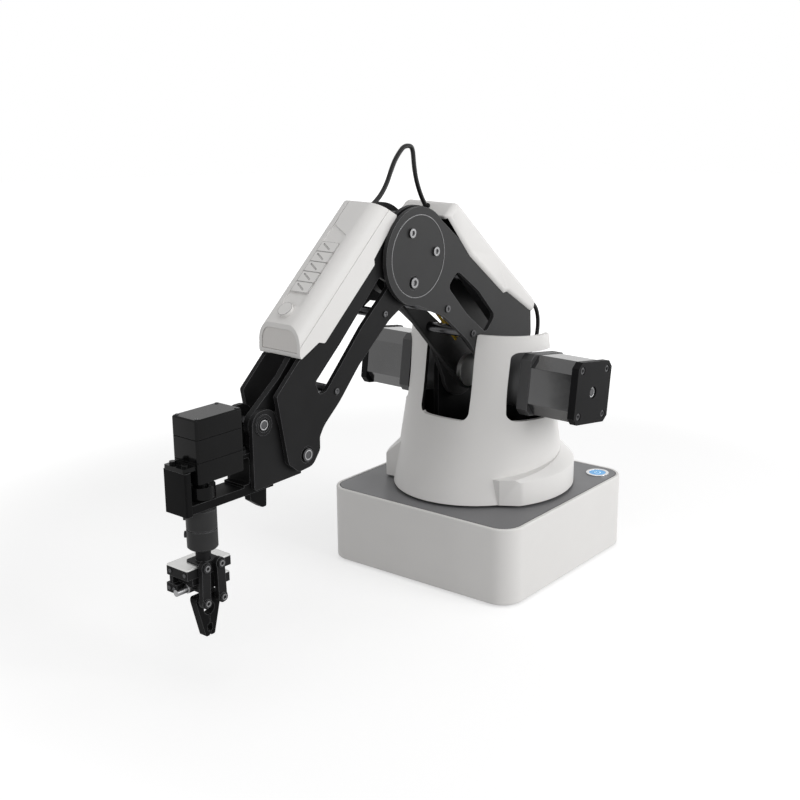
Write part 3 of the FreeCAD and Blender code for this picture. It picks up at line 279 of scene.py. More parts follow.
WHITE_PLASTIC = Finish("moulded_white_plastic", (0.80, 0.788, 0.773), 0.46, specular=0.35, mottle=0.012,
                       relief_scale=3200.0)
# Panel plastic: its edges are darkened as painted shade in the gap round the panel.
PANEL_PLASTIC = Finish("moulded_panel_plastic", (0.74, 0.72, 0.70), 0.5, specular=0.3, mottle=0.015,
                       wear=0.9, wear_colour=(0.22, 0.215, 0.21), wear_width=0.0008)
# Grey plate: its edges are darkened as painted shade in the groove round the plate.
GREY_PLATE = Finish("painted_grey_plate", (0.19, 0.19, 0.196), 0.42, specular=0.35, mottle=0.03,
                    relief_scale=4200.0, wear=0.9, wear_colour=(0.03, 0.03, 0.03), wear_width=0.0007)
# White plastic of the socket flaps and the unlock button: its edges are darkened as painted shade in the
# gaps between them.
GAP_SHADED_PLASTIC = Finish("seamed_white_plastic", (0.80, 0.788, 0.773), 0.46, specular=0.35, mottle=0.012,
                        wear=1.0, wear_colour=(0.16, 0.158, 0.155), wear_width=0.0008)
# Black metal: its edges are lightened as a painted highlight.
BLACK_METAL = Finish("black_anodised_metal", (0.015, 0.015, 0.0155), 0.45, specular=0.06, mottle=0.12,
                     gloss_spread=0.04, relief_scale=3800.0, relief_depth=0.000012, wear=0.55)
# Satin black plate: its edges are lightened as a painted highlight.
SATIN_BLACK = Finish("satin_black_plate", (0.034, 0.034, 0.0345), 0.42, specular=0.10, mottle=0.1,
                     gloss_spread=0.04, relief_scale=3800.0, relief_depth=0.000012, wear=0.65)
# Motor front caps: glossier than the rear caps, and painted lighter with lightened edges as a painted
# highlight on their chamfers.
MOTOR_FRONT_HIGHLIGHTED = Finish("painted_motor_front", (0.042, 0.042, 0.043), 0.42, specular=0.3, wear=0.5)
# Deep black metal: its edges are lightened as a painted highlight.
DEEP_BLACK = Finish("deep_black_metal", (0.007, 0.007, 0.0072), 0.45, specular=0.03, mottle=0.12, wear=0.45)
GEAR_HOUSING = Finish("grey_gear_housing", (0.105, 0.105, 0.107), 0.45, specular=0.3)
# Matt black put on inner faces of white parts as painted shade.
SHADE_PAINTED_BLACK = Finish("matt_black_lining", (0.006, 0.006, 0.006), 0.7, specular=0.05)
MOTOR_CAP = Finish("cast_motor_cap", (0.008, 0.008, 0.0085), 0.46, specular=0.05, mottle=0.12,
                   relief_scale=2400.0)
MOTOR_STACK = Finish("laminated_motor_stack", (0.026, 0.026, 0.027), 0.09, specular=1.0, mottle=0.08,
                     gloss_spread=0.05, lay=Lay.STACKED, brush=(1.0, 1.0, 1.0), relief_scale=420.0,
                     relief_depth=0.00002)
SERVO_PLASTIC = Finish("moulded_servo_plastic", (0.005, 0.005, 0.0052), 0.15, specular=0.10, mottle=0.08)
STEEL = Finish("turned_steel", (0.30, 0.30, 0.305), 0.28, metallic=1.0, lay=Lay.BRUSHED, relief_scale=900.0)
SCREW_STEEL = Finish("bolt_steel", (0.17, 0.17, 0.173), 0.3, metallic=1.0, relief_scale=1400.0)
DARK_STEEL = Finish("blackened_steel", (0.075, 0.075, 0.078), 0.3, metallic=1.0, relief_scale=1800.0)
CHROME = Finish("polished_plating", (0.70, 0.71, 0.72), 0.12, metallic=1.0, gloss_spread=0.03, mottle=0.02)
LIGHT_METAL = Finish("brushed_light_metal", (0.62, 0.62, 0.61), 0.34, metallic=0.85, lay=Lay.BRUSHED,
                     relief_scale=800.0)
RUBBER = Finish("matt_rubber", (0.012, 0.012, 0.012), 0.7, specular=0.2, relief_scale=1800.0,
                relief_depth=0.00004)
PORT_PLASTIC = Finish("matt_port_plastic", (0.022, 0.022, 0.023), 0.55, specular=0.25)
BOARD = Finish("lacquered_board", (0.015, 0.11, 0.045), 0.35, specular=0.5, mottle=0.1, mottle_scale=300.0)
LIT_LENS = Finish("lit_blue_lens", (0.08, 0.36, 0.72), 0.25, specular=0.5, glow=0.22)
LIT_MARK = Finish("lit_white_mark", (0.62, 0.82, 0.95), 0.4, glow=0.35)
WIRE_YELLOW = Finish("yellow_insulation", (0.55, 0.36, 0.03), 0.45, mottle=0.05)
CABLE_JACKET = Finish("black_cable_jacket", (0.010, 0.010, 0.010), 0.4, specular=0.2, relief_scale=1500.0)

SLOT_FINISHES: Dict[str, Finish] = {
    "white_plastic": WHITE_PLASTIC, "panel_plastic": PANEL_PLASTIC, "grey_plate": GREY_PLATE,
    "black_metal": BLACK_METAL, "motor_cap": MOTOR_CAP, "motor_stack": MOTOR_STACK,
    "servo_plastic": SERVO_PLASTIC, "steel": STEEL, "bright_metal": CHROME, "light_metal": LIGHT_METAL,
    "belt_rubber": RUBBER, "foot_rubber": RUBBER, "port_plastic": PORT_PLASTIC, "board": BOARD,
    "button_lens": LIT_LENS, "wire_yellow": WIRE_YELLOW, "cable_black": CABLE_JACKET,
}
NODE_FINISHES: Dict[str, Finish] = {
    "motor_screws": DARK_STEEL, "rear_spacers": DARK_STEEL, "forearm_spacers": DARK_STEEL,
    "shoulder_gearbox": GEAR_HOUSING, "elbow_gearbox": GEAR_HOUSING, "shoulder_shaft": DARK_STEEL,
    "rear_plate_near": SATIN_BLACK, "rear_plate_far": SATIN_BLACK, "elbow_discs": SATIN_BLACK,
    "socket_flaps": GAP_SHADED_PLASTIC, "unlock_button": GAP_SHADED_PLASTIC,
    "servo_bracket": DEEP_BLACK, "finger_front": DEEP_BLACK, "finger_rear": DEEP_BLACK,
    "tool_coupling": SATIN_BLACK, "elbow_screws": SCREW_STEEL, "wrist_pins": DARK_STEEL,
    "air_fitting": STEEL,
}


class Bench:
    """Modelling steps shared by every new piece."""

    @staticmethod
    def clear() -> None:
        """Deselect everything."""
        bpy.ops.object.select_all(action="DESELECT")

    @staticmethod
    def alone(piece: bpy.types.Object) -> None:
        """Select one piece and make it active.

        Args:
            piece: The piece to work on.
        """
        Bench.clear()
        piece.select_set(True)
        bpy.context.view_layer.objects.active = piece

    @staticmethod
    def cylinder(name: str, radius: float, height: float, sides: int = 32) -> bpy.types.Object:
        """Stand a cylinder on the origin.

        Args:
            name: The piece's name.
            radius: Its radius in millimetres.
            height: Its height in millimetres.
            sides: Number of side faces.

        Returns:
            The new object.
        """
        Bench.clear()
        bpy.ops.mesh.primitive_cylinder_add(vertices=sides, radius=mm(radius), depth=mm(height),
                                            location=(0.0, 0.0, mm(height) / 2))
        made = bpy.context.active_object
        made.name = name
        bpy.ops.object.transform_apply(location=True, rotation=True, scale=True)
        return made

    @staticmethod
    def block(name: str, size: Point) -> bpy.types.Object:
        """Stand a block on the origin.

        Args:
            name: The piece's name.
            size: Its three sides in millimetres.

        Returns:
            The new object.
        """
        Bench.clear()
        bpy.ops.mesh.primitive_cube_add(size=1.0, location=(0.0, 0.0, mm(size[2]) / 2))
        made = bpy.context.active_object
        made.name = name
        made.scale = [mm(s) for s in size]
        bpy.ops.object.transform_apply(location=True, rotation=True, scale=True)
        return made

    @staticmethod
    def pick_faces(piece: bpy.types.Object, test: Callable[[bpy.types.MeshPolygon], bool]) -> None:
        """Select the faces that pass a test, and enter edit mode on them.

        Args:
            piece: The piece whose faces are picked.
            test: Says whether a face is wanted.
        """
        Bench.alone(piece)
        bpy.ops.object.mode_set(mode="EDIT")
        bpy.ops.mesh.select_mode(type="FACE")
        bpy.ops.mesh.select_all(action="DESELECT")
        bpy.ops.object.mode_set(mode="OBJECT")
        for face in piece.data.polygons:
            face.select = test(face)
        bpy.ops.object.mode_set(mode="EDIT")

    @staticmethod
    def done() -> None:
        """Leave edit mode."""
        bpy.ops.object.mode_set(mode="OBJECT")

    @staticmethod
    def sink(rim: float, depth: float) -> None:
        """Inset the picked top face, push it down and leave edit mode.

        Args:
            rim: Width of the rim that stays, in millimetres.
            depth: How far the face goes down, in millimetres.
        """
        bpy.ops.mesh.inset(thickness=mm(rim))
        bpy.ops.mesh.extrude_region_move(TRANSFORM_OT_translate={"value": (0.0, 0.0, -mm(depth))})
        Bench.done()

    @staticmethod
    def cut(piece: bpy.types.Object, tool: bpy.types.Object) -> None:
        """Take a tool's shape away from a piece and delete the tool.

        Args:
            piece: The piece that is cut.
            tool: The shape that is taken away.
        """
        Bench.alone(piece)
        step = piece.modifiers.new("cut", "BOOLEAN")
        step.operation = "DIFFERENCE"
        step.solver = "EXACT"
        step.object = tool
        bpy.ops.object.modifier_apply(modifier=step.name)
        bpy.data.objects.remove(tool)

    @staticmethod
    def soften(piece: bpy.types.Object, width: float, segments: int = 2) -> None:
        """Round a piece's sharp edges.

        Args:
            piece: The piece.
            width: Width of the rounding in millimetres.
            segments: Number of steps across it.
        """
        Bench.alone(piece)
        step = piece.modifiers.new("soften", "BEVEL")
        step.width = mm(width)
        step.segments = segments
        step.limit_method = "ANGLE"
        step.angle_limit = SOFTEN_ANGLE
        bpy.ops.object.modifier_apply(modifier=step.name)
        bpy.ops.object.shade_smooth_by_angle(angle=SMOOTH_ANGLE)

    @staticmethod
    def copy(piece: bpy.types.Object, name: str) -> bpy.types.Object:
        """Copy a piece with its own mesh.

        Args:
            piece: The pattern.
            name: The copy's name.

        Returns:
            The copy.
        """
        made = piece.copy()
        made.data = piece.data.copy()
        made.name = name
        bpy.context.scene.collection.objects.link(made)
        return made

    @staticmethod
    def settle(piece: bpy.types.Object, origin: Vector, facing: Vector, roll: float = 0.0) -> None:
        """Move a piece that stands on the origin to its place, inside its mesh.

        Args:
            piece: The piece, standing on the origin and facing up.
            origin: Where its foot goes, in metres.
            facing: The direction that its top faces.
            roll: Turn about that direction, in degrees.
        """
        turn = facing.normalized().to_track_quat("Z", "Y").to_matrix().to_4x4()
        rolled = Matrix.Rotation(math.radians(roll), 4, "Z")
        piece.data.transform(Matrix.Translation(origin) @ turn @ rolled)
        piece.data.update()

    @staticmethod
    def pair(pattern: bpy.types.Object, name: str, place: Point, finish: Finish, body: str) -> None:
        """Set a steel copy of a pattern on the arm's near side and one on its far side.

        Args:
            pattern: The piece to copy, standing on the origin and facing up.
            name: The copies' name, with %s for the side.
            place: Where the near one goes, in millimetres in the arm's plane.
            finish: Their surface.
            body: The body that carries them.
        """
        x, y, z = place
        for facing, side in ((Axis.NEAR, 1.0), (Axis.FAR, -1.0)):
            piece = Bench.copy(pattern, name % facing.name.lower())
            Bench.settle(piece, arm_point(x, side * y, z), facing.world())
            Bench.fit(piece, finish, "steel", body)

    @staticmethod
    def fit(piece: bpy.types.Object, finish: Finish, slot: str, body: str) -> bpy.types.Object:
        """Give a piece its finish and let it ride on a body.

        Args:
            piece: The finished mesh.
            finish: Its surface.
            slot: The record's material slot; not used.
            body: The body that carries it.

        Returns:
            The same piece.
        """
        piece.data.materials.clear()
        piece.data.materials.append(finish.material())
        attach(piece, body)
        LOG.info("piece %s rides on %s", piece.name, body)
        return piece


@dataclass(frozen=True)
class SocketScrew:
    """Cap screw with a hexagon socket, in millimetres."""

    name: str
    radius: float
    height: float
    socket: float
    sides: int = 36
    key_sides: int = 6
    socket_floor: float = 0.4
    edge: float = 0.22
    edge_share: float = 0.1

    def model(self) -> bpy.types.Object:
        """Model the head standing on the origin.

        Returns:
            The pattern to copy from.
        """
        head = Bench.cylinder(self.name, self.radius, self.height, self.sides)
        key = Bench.cylinder(self.name + "_key", self.socket, self.height, self.key_sides)
        key.data.transform(Matrix.Translation((0.0, 0.0, mm(self.height * self.socket_floor))))
        Bench.cut(head, key)
        Bench.soften(head, min(self.edge, self.radius * self.edge_share))
        return head


@dataclass(frozen=True)
class Ring:
    """Round ring with rounded edges, in millimetres."""

    name: str
    inner: float
    outer: float
    height: float
    sides: int = 48
    edge: float = 0.3
    edge_share: float = 0.3

    def model(self) -> bpy.types.Object:
        """Model the ring standing on the origin.

        Returns:
            The ring.
        """
        ring = Bench.cylinder(self.name, self.outer, self.height, self.sides)
        Bench.pick_faces(ring, lambda face: abs(face.normal.z) > FACES_ALONG)
        bpy.ops.mesh.inset(thickness=mm(self.outer - self.inner), use_individual=True)
        bpy.ops.mesh.bridge_edge_loops()
        Bench.done()
        Bench.soften(ring, min(self.edge, self.height * self.edge_share))
        return ring


@dataclass(frozen=True)
class PortShell:
    """Socket shell hollowed from its front, in millimetres."""

    name: str
    width: float
    height: float
    depth: float
    wall: float = 0.8
    hollow: float = 0.7
    edge: float = 0.12

    def model(self) -> bpy.types.Object:
        """Model the shell lying on its back at the origin.

        Returns:
            The shell.
        """
        shell = Bench.block(self.name, (self.width, self.height, self.depth))
        Bench.pick_faces(shell, lambda face: face.normal.z > FACES_ALONG)
        Bench.sink(self.wall, self.depth * self.hollow)
        Bench.soften(shell, self.edge)
        return shell


@dataclass
class PhotoCamera:
    """Camera that stands where the photograph was taken from: millimetres and degrees."""

    azimuth: float = 128.38
    elevation: float = 15.54
    distance: float = 913.39
    sideways: float = -57.76
    height: float = 115.78
    roll: float = -0.51
    focal_pixels: float = 1264.14
    sensor: float = 36.0
    nearest: float = 10.0

    def build(self) -> bpy.types.Object:
        """Make the scene's camera.

        Returns:
            The camera object.
        """
        turn, tilt, roll = (math.radians(v) for v in (self.azimuth, self.elevation, self.roll))
        back = Vector((math.sin(turn) * math.cos(tilt), -math.cos(turn) * math.cos(tilt),
                       math.sin(tilt)))
        right = Vector((math.cos(turn), math.sin(turn), 0.0))
        up = back.cross(right)
        place = Vector((0.0, 0.0, mm(self.height)))
        place += back * mm(self.distance) + right * mm(self.sideways)
        level_right, level_up = right.copy(), up.copy()
        right = math.cos(roll) * level_right + math.sin(roll) * level_up
        up = math.cos(roll) * level_up - math.sin(roll) * level_right
        data = bpy.data.cameras.new("photo_camera")
        data.sensor_width = self.sensor
        data.lens = self.sensor * self.focal_pixels / PHOTO_PIXELS
        data.clip_start = mm(self.nearest)
        camera = bpy.data.objects.new("photo_camera", data)
        bpy.context.scene.collection.objects.link(camera)
        facing = Matrix((right, up, back)).transposed().to_4x4()
        camera.matrix_world = Matrix.Translation(place) @ facing
        bpy.context.scene.camera = camera
        return camera


@dataclass
class SoftLamp:
    """One rectangular studio lamp, in metres and watts."""

    name: str
    place: Point
    aim: Point
    width: float
    height: float
    power: float

    def build(self) -> bpy.types.Object:
        """Hang the lamp and turn it to its aim.

        Returns:
            The lamp object.
        """
        data = bpy.data.lights.new(self.name, "AREA")
        data.shape = "RECTANGLE"
        data.size = self.width
        data.size_y = self.height
        data.energy = self.power
        lamp = bpy.data.objects.new(self.name, data)
        bpy.context.scene.collection.objects.link(lamp)
        lamp.location = self.place
        beam = Vector(self.aim) - Vector(self.place)
        lamp.rotation_euler = beam.to_track_quat("-Z", "Y").to_euler()
        return lamp


@dataclass
class Studio:
    """White floor and background with soft lamps, in metres."""

    floor_radius: float = 3.0
    floor_sides: int = 64
    floor_diffuse: float = 0.60
    floor_glow: float = 0.56
    shadow_radius: float = 0.32
    white_radius: float = 0.68
    ambient: float = 0.31
    lamps: List[SoftLamp] = field(default_factory=lambda: [
        SoftLamp("near_side_lamp", (-0.2, 1.75, 0.8), (0.05, 0.0, 0.13), 1.1, 1.0, 15.0),
        SoftLamp("low_rim_lamp", (-1.35, 1.2, 0.3), (0.05, 0.0, 0.15), 1.0, 0.5, 7.0),
        SoftLamp("overhead_lamp", (0.0, 0.15, 1.9), (0.08, 0.0, 0.1), 1.5, 1.5, 8.0),
        SoftLamp("front_fill_lamp", (1.8, 0.1, 0.5), (0.1, 0.0, 0.12), 1.0, 1.0, 5.0),
    ])

    @staticmethod
    def _seen(tree: bpy.types.NodeTree) -> bpy.types.NodeSocket:
        """Add a factor that is 1 for camera, glossy and transmission rays.

        Args:
            tree: The nodes to add it to.

        Returns:
            The factor's output socket.
        """
        path = tree.nodes.new("ShaderNodeLightPath")
        first = tree.nodes.new("ShaderNodeMath")
        first.operation = "ADD"
        second = tree.nodes.new("ShaderNodeMath")
        second.operation = "ADD"
        second.use_clamp = True
        tree.links.new(path.outputs["Is Camera Ray"], first.inputs[0])
        tree.links.new(path.outputs["Is Glossy Ray"], first.inputs[1])
        tree.links.new(first.outputs[0], second.inputs[0])
        tree.links.new(path.outputs["Is Transmission Ray"], second.inputs[1])
        return second.outputs[0]

    def _floor_material(self) -> bpy.types.Material:
        """Make the floor's white surface, which keeps the object's shadow.

        Returns:
            The material.
        """
        made = bpy.data.materials.new("studio_floor")
        made.use_nodes = True
        tree = made.node_tree
        tree.nodes.clear()
        out = tree.nodes.new("ShaderNodeOutputMaterial")
        diffuse = tree.nodes.new("ShaderNodeBsdfDiffuse")
        diffuse.inputs["Color"].default_value = (self.floor_diffuse,) * 3 + (1.0,)
        glow = tree.nodes.new("ShaderNodeEmission")
        place = tree.nodes.new("ShaderNodeTexCoord")
        reach = tree.nodes.new("ShaderNodeVectorMath")
        reach.operation = "LENGTH"
        tree.links.new(place.outputs["Object"], reach.inputs[0])
        fade = tree.nodes.new("ShaderNodeMapRange")
        fade.interpolation_type = "SMOOTHSTEP"
        fade.inputs["From Min"].default_value = self.shadow_radius
        fade.inputs["From Max"].default_value = self.white_radius
        fade.inputs["To Min"].default_value = self.floor_glow
        fade.inputs["To Max"].default_value = 1.0
        tree.links.new(reach.outputs["Value"], fade.inputs["Value"])
        strength = tree.nodes.new("ShaderNodeMath")
        strength.operation = "MULTIPLY"
        tree.links.new(self._seen(tree), strength.inputs[0])
        tree.links.new(fade.outputs["Result"], strength.inputs[1])
        tree.links.new(strength.outputs[0], glow.inputs["Strength"])
        both = tree.nodes.new("ShaderNodeAddShader")
        tree.links.new(diffuse.outputs[0], both.inputs[0])
        tree.links.new(glow.outputs[0], both.inputs[1])
        tree.links.new(both.outputs[0], out.inputs["Surface"])
        return made

    def _world(self) -> None:
        """Make the background white to the camera and plain to the object."""
        world = bpy.data.worlds.new("studio_world")
        bpy.context.scene.world = world
        world.use_nodes = True
        tree = world.node_tree
        sky = tree.nodes["Background"]
        sky.inputs["Color"].default_value = (1.0, 1.0, 1.0, 1.0)
        spread = tree.nodes.new("ShaderNodeMapRange")
        spread.inputs["To Min"].default_value = self.ambient
        spread.inputs["To Max"].default_value = 1.0
        tree.links.new(self._seen(tree), spread.inputs["Value"])
        tree.links.new(spread.outputs["Result"], sky.inputs["Strength"])

    def build(self) -> None:
        """Lay the floor, set the background and hang the lamps."""
        Bench.clear()
        bpy.ops.mesh.primitive_circle_add(vertices=self.floor_sides, radius=self.floor_radius,
                                          fill_type="NGON")
        floor = bpy.context.active_object
        floor.name = "studio_floor"
        floor.data.materials.append(self._floor_material())
        self._world()
        for lamp in self.lamps:
            lamp.build()
        bpy.context.scene.view_settings.view_transform = "Standard"


@dataclass
class ArmCable:
    """Round cable on one smooth route: its points are millimetres in the arm's plane."""

    name: str
    node: str
    route: Sequence[Point]
    bodies: Tuple[str, str]
    length: float
    diameter: float = 3.0
    order: int = 3
    steps: int = 12
    round_steps: int = 5

    def _curve(self) -> bpy.types.Object:
        """Make the route's smooth spline.

        Returns:
            A curve object without thickness.
        """
        curve = bpy.data.curves.new(self.name + "_route", "CURVE")
        curve.dimensions = "3D"
        spline = curve.splines.new("NURBS")
        spline.points.add(len(self.route) - 1)
        for point, place in zip(spline.points, self.route):
            point.co = (*arm_point(*place), 1.0)
        spline.order_u = self.order
        spline.use_endpoint_u = True
        spline.resolution_u = self.steps
        made = bpy.data.objects.new(self.name + "_route", curve)
        bpy.context.scene.collection.objects.link(made)
        return made

    def build(self) -> bpy.types.Object:
        """Returns:
            The cable.
        """
        guide = self._curve()
        line = bpy.data.meshes.new_from_object(guide)
        guide.data.bevel_depth = mm(self.diameter) / 2
        guide.data.bevel_resolution = self.round_steps
        guide.data.use_fill_caps = True
        mesh = bpy.data.meshes.new_from_object(guide)
        mesh.name = self.name
        bpy.data.objects.remove(guide)
        cable = bpy.data.objects.new(self.name, mesh)
        bpy.context.scene.collection.objects.link(cable)
        Bench.alone(cable)
        bpy.ops.object.shade_smooth_by_angle(angle=CABLE_SMOOTH_ANGLE)
        mesh.materials.clear()
        mesh.materials.append(CABLE_JACKET.material())
        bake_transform(cable)
        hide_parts(self.node)
        LOG.info("cable %s between %s and %s", self.name, *self.bodies)
        return cable


@dataclass
class Harness:
    """The three cables that show outside the arm."""

    cables: List[ArmCable] = field(default_factory=lambda: [
        ArmCable("elbow_loop_rear", "elbow_cable_rear",
                 ((60.2, 0, 258.9), (64.6, 0, 264.8), (68.6, 0, 272.0), (71.8, 0, 280.0), (73.5, 0, 288.0),
                  (74.2, 0, 294.4), (74.9, 0, 298.3), (76.9, 0, 300.6), (79.9, 0, 300.7)),
                 ("rear_arm", "elbow"), 48.6),
        ArmCable("elbow_loop_front", "elbow_cable_front",
                 ((79.9, 0, 300.7), (83.3, 0, 300.81), (88.0, 0, 297.2), (93.0, 0, 292.0), (97.0, 0, 285.2),
                  (100.8, 0, 278.3), (106.4, 0, 272.0), (112.4, 0, 267.9), (117.0, 0, 265.2)),
                 ("elbow", "forearm"), 53.1),
        ArmCable("shoulder_lead", "shoulder_cable",
                 ((-36.0, 14, 183.3), (-42.6, 14, 182.3), (-48.0, 14, 178.2), (-51.2, 14, 171.8),
                  (-52.0, 14, 164.0), (-50.6, 14, 156.0), (-46.6, 14, 148.8), (-40.5, 14, 143.5)),
                 ("rear_arm", "turret"), 52.4),
    ])

    def build(self) -> None:
        """Lay every cable."""
        for cable in self.cables:
            cable.build()


@dataclass
class NodeDressing:
    """Gives every CAD node its finish, with smooth curves and crisp edges."""

    merge_gap: float = 0.01
    crease: float = 30.0

    def build(self) -> None:
        """Dress all nodes by the record's slots."""
        for row in frame["record"]["subparts"]:
            node = frame["nodes"][row["node"]]
            self._paint(node, NODE_FINISHES.get(row["node"], SLOT_FINISHES[row["material_slot"]]))
            self._smooth(node)
            LOG.info("node %s wears %s", row["node"], row["material_slot"])

    @staticmethod
    def _paint(node: bpy.types.Object, finish: Finish) -> None:
        """Put one finish on a node.

        Args:
            node: The CAD object.
            finish: Its surface.
        """
        node.data.materials.clear()
        node.data.materials.append(finish.material())

    def _smooth(self, node: bpy.types.Object) -> None:
        """Shade a node's curves smooth and keep its corners.

        Args:
            node: The CAD object.
        """
        node.data.polygons.foreach_set("use_smooth", [True] * len(node.data.polygons))
        merge = node.modifiers.new("merge", "WELD")
        merge.merge_threshold = mm(self.merge_gap)
        corners = node.modifiers.new("corners", "EDGE_SPLIT")
        corners.split_angle = math.radians(self.crease)
        corners.use_edge_sharp = False


@dataclass
class BaseUnit:
    """Power mark and rear sockets of the fixed base, in millimetres."""

    button_place: Tuple[float, float] = (-62.0, 63.5)
    button_top: float = 56.1
    mark_inner: float = 1.9
    mark_outer: float = 2.4
    mark_height: float = 0.14
    mark_sides: int = 72
    mark_gap: float = 38.0
    mark_turn: float = -38.0
    bar_size: Tuple[float, float] = (0.5, 2.0)
    bar_set_in: float = 0.6
    bar_edge: float = 0.05

    port_back: float = -77.0
    shells: Tuple[PortShell, ...] = (PortShell("rear_socket_square", 11.0, 10.0, 1.3),
                                     PortShell("rear_socket_wide_a", 17.0, 8.0, 1.3),
                                     PortShell("rear_socket_wide_b", 17.0, 8.0, 1.3))
    shell_places: Tuple[Tuple[float, float], ...] = ((-34.0, 29.5), (-14.0, 28.5), (8.0, 28.5))
    jack: Ring = Ring("rear_power_jack", 3.0, 4.8, 1.3)
    jack_place: Tuple[float, float] = (33.0, 29.0)
    pin_radius: float = 0.9
    pin_sides: int = 24
    pin_edge: float = 0.2

    def build(self) -> None:
        """Model the base's own details."""
        self._power_mark()
        self._rear_sockets()

    def _rear_sockets(self) -> None:
        """Set the socket shells and the power jack into the rear panel."""
        rear = Vector((-1.0, 0.0, 0.0))
        for shell, (y, z) in zip(self.shells, self.shell_places):
            piece = shell.model()
            Bench.settle(piece, Vector((mm(self.port_back), mm(y), mm(z))), rear)
            finish = LIGHT_METAL if shell is self.shells[0] else PORT_PLASTIC
            Bench.fit(piece, finish, "port_plastic", "base")
        y, z = self.jack_place
        ring = self.jack.model()
        pin = Bench.cylinder("rear_power_jack_pin", self.pin_radius, self.jack.height, self.pin_sides)
        Bench.soften(pin, self.pin_edge)
        for piece, finish in ((ring, PORT_PLASTIC), (pin, STEEL)):
            Bench.settle(piece, Vector((mm(self.port_back), mm(y), mm(z))), rear)
            Bench.fit(piece, finish, "port_plastic", "base")

    def _power_mark(self) -> None:
        """Model the broken ring and bar on the power button."""
        ring = Ring("power_mark", self.mark_inner, self.mark_outer, self.mark_height,
                    self.mark_sides).model()
        gap = math.radians(self.mark_gap)
        Bench.pick_faces(ring, lambda face: abs(math.atan2(face.center.x, face.center.y)) < gap)
        bpy.ops.mesh.delete(type="FACE")
        bpy.ops.mesh.select_all(action="SELECT")
        bpy.ops.mesh.fill_holes(sides=0)
        Bench.done()
        bar = Bench.block("power_mark_bar", (*self.bar_size, self.mark_height))
        bar.data.transform(Matrix.Translation((0.0, mm(self.mark_outer - self.bar_set_in), 0.0)))
        Bench.soften(bar, self.bar_edge)
        Bench.clear()
        bar.select_set(True)
        ring.select_set(True)
        bpy.context.view_layer.objects.active = ring
        bpy.ops.object.join()
        x, y = self.button_place
        top = Vector((mm(x), mm(y), mm(self.button_top)))
        Bench.settle(ring, top, Vector(Axis.UP.value), self.mark_turn)
        Bench.fit(ring, LIT_MARK, "button_lens", "power_button")


@dataclass
class Column:
    """Dark painted shade inside the turning column, and the ends of its motors, in millimetres."""

    shell: str = "turret_shell"
    facing_in: float = -0.25
    caps: Tuple[str, str] = ("shoulder_motor_caps", "elbow_motor_caps")
    stack_start: float = 56.6
    shaft_ring: Ring = Ring("motor_shaft_ring", 2.5, 3.8, 0.9)
    shaft_place: Point = (0.0, 92.4, 136.6)

    def build(self) -> None:
        """Paint shade inside the shell and finish the motors."""
        self._line_shell()
        self._paint_front_caps()
        self._shaft_rings()

    def _line_shell(self) -> None:
        """Paint the inside of the shell matt black as painted shade."""
        mesh = frame["nodes"][self.shell].data
        # Inner faces of the white shell get matt black as painted shade.
        mesh.materials.append(SHADE_PAINTED_BLACK.material())
        for face in mesh.polygons:
            outward = Vector((face.center.x, face.center.y, 0.0)).normalized()
            face.material_index = 1 if face.normal.dot(outward) < self.facing_in else 0
        LOG.info("lined %s", self.shell)

    def _paint_front_caps(self) -> None:
        """Paint the motors' front caps glossier, and lighter than their rear caps as a painted highlight.
        """
        across = Axis.NEAR.world()
        for name in self.caps:
            mesh = frame["nodes"][name].data
            # The lighter front-cap colour is a painted highlight.
            mesh.materials.append(MOTOR_FRONT_HIGHLIGHTED.material())
            for face in mesh.polygons:
                face.material_index = 1 if abs(face.center.dot(across)) < mm(self.stack_start) else 0

    def _shaft_rings(self) -> None:
        """Set a bright ring round each motor's shaft end."""
        pattern = self.shaft_ring.model()
        Bench.pair(pattern, "motor_shaft_ring_%s", self.shaft_place, STEEL, "turret")
        bpy.data.objects.remove(pattern)


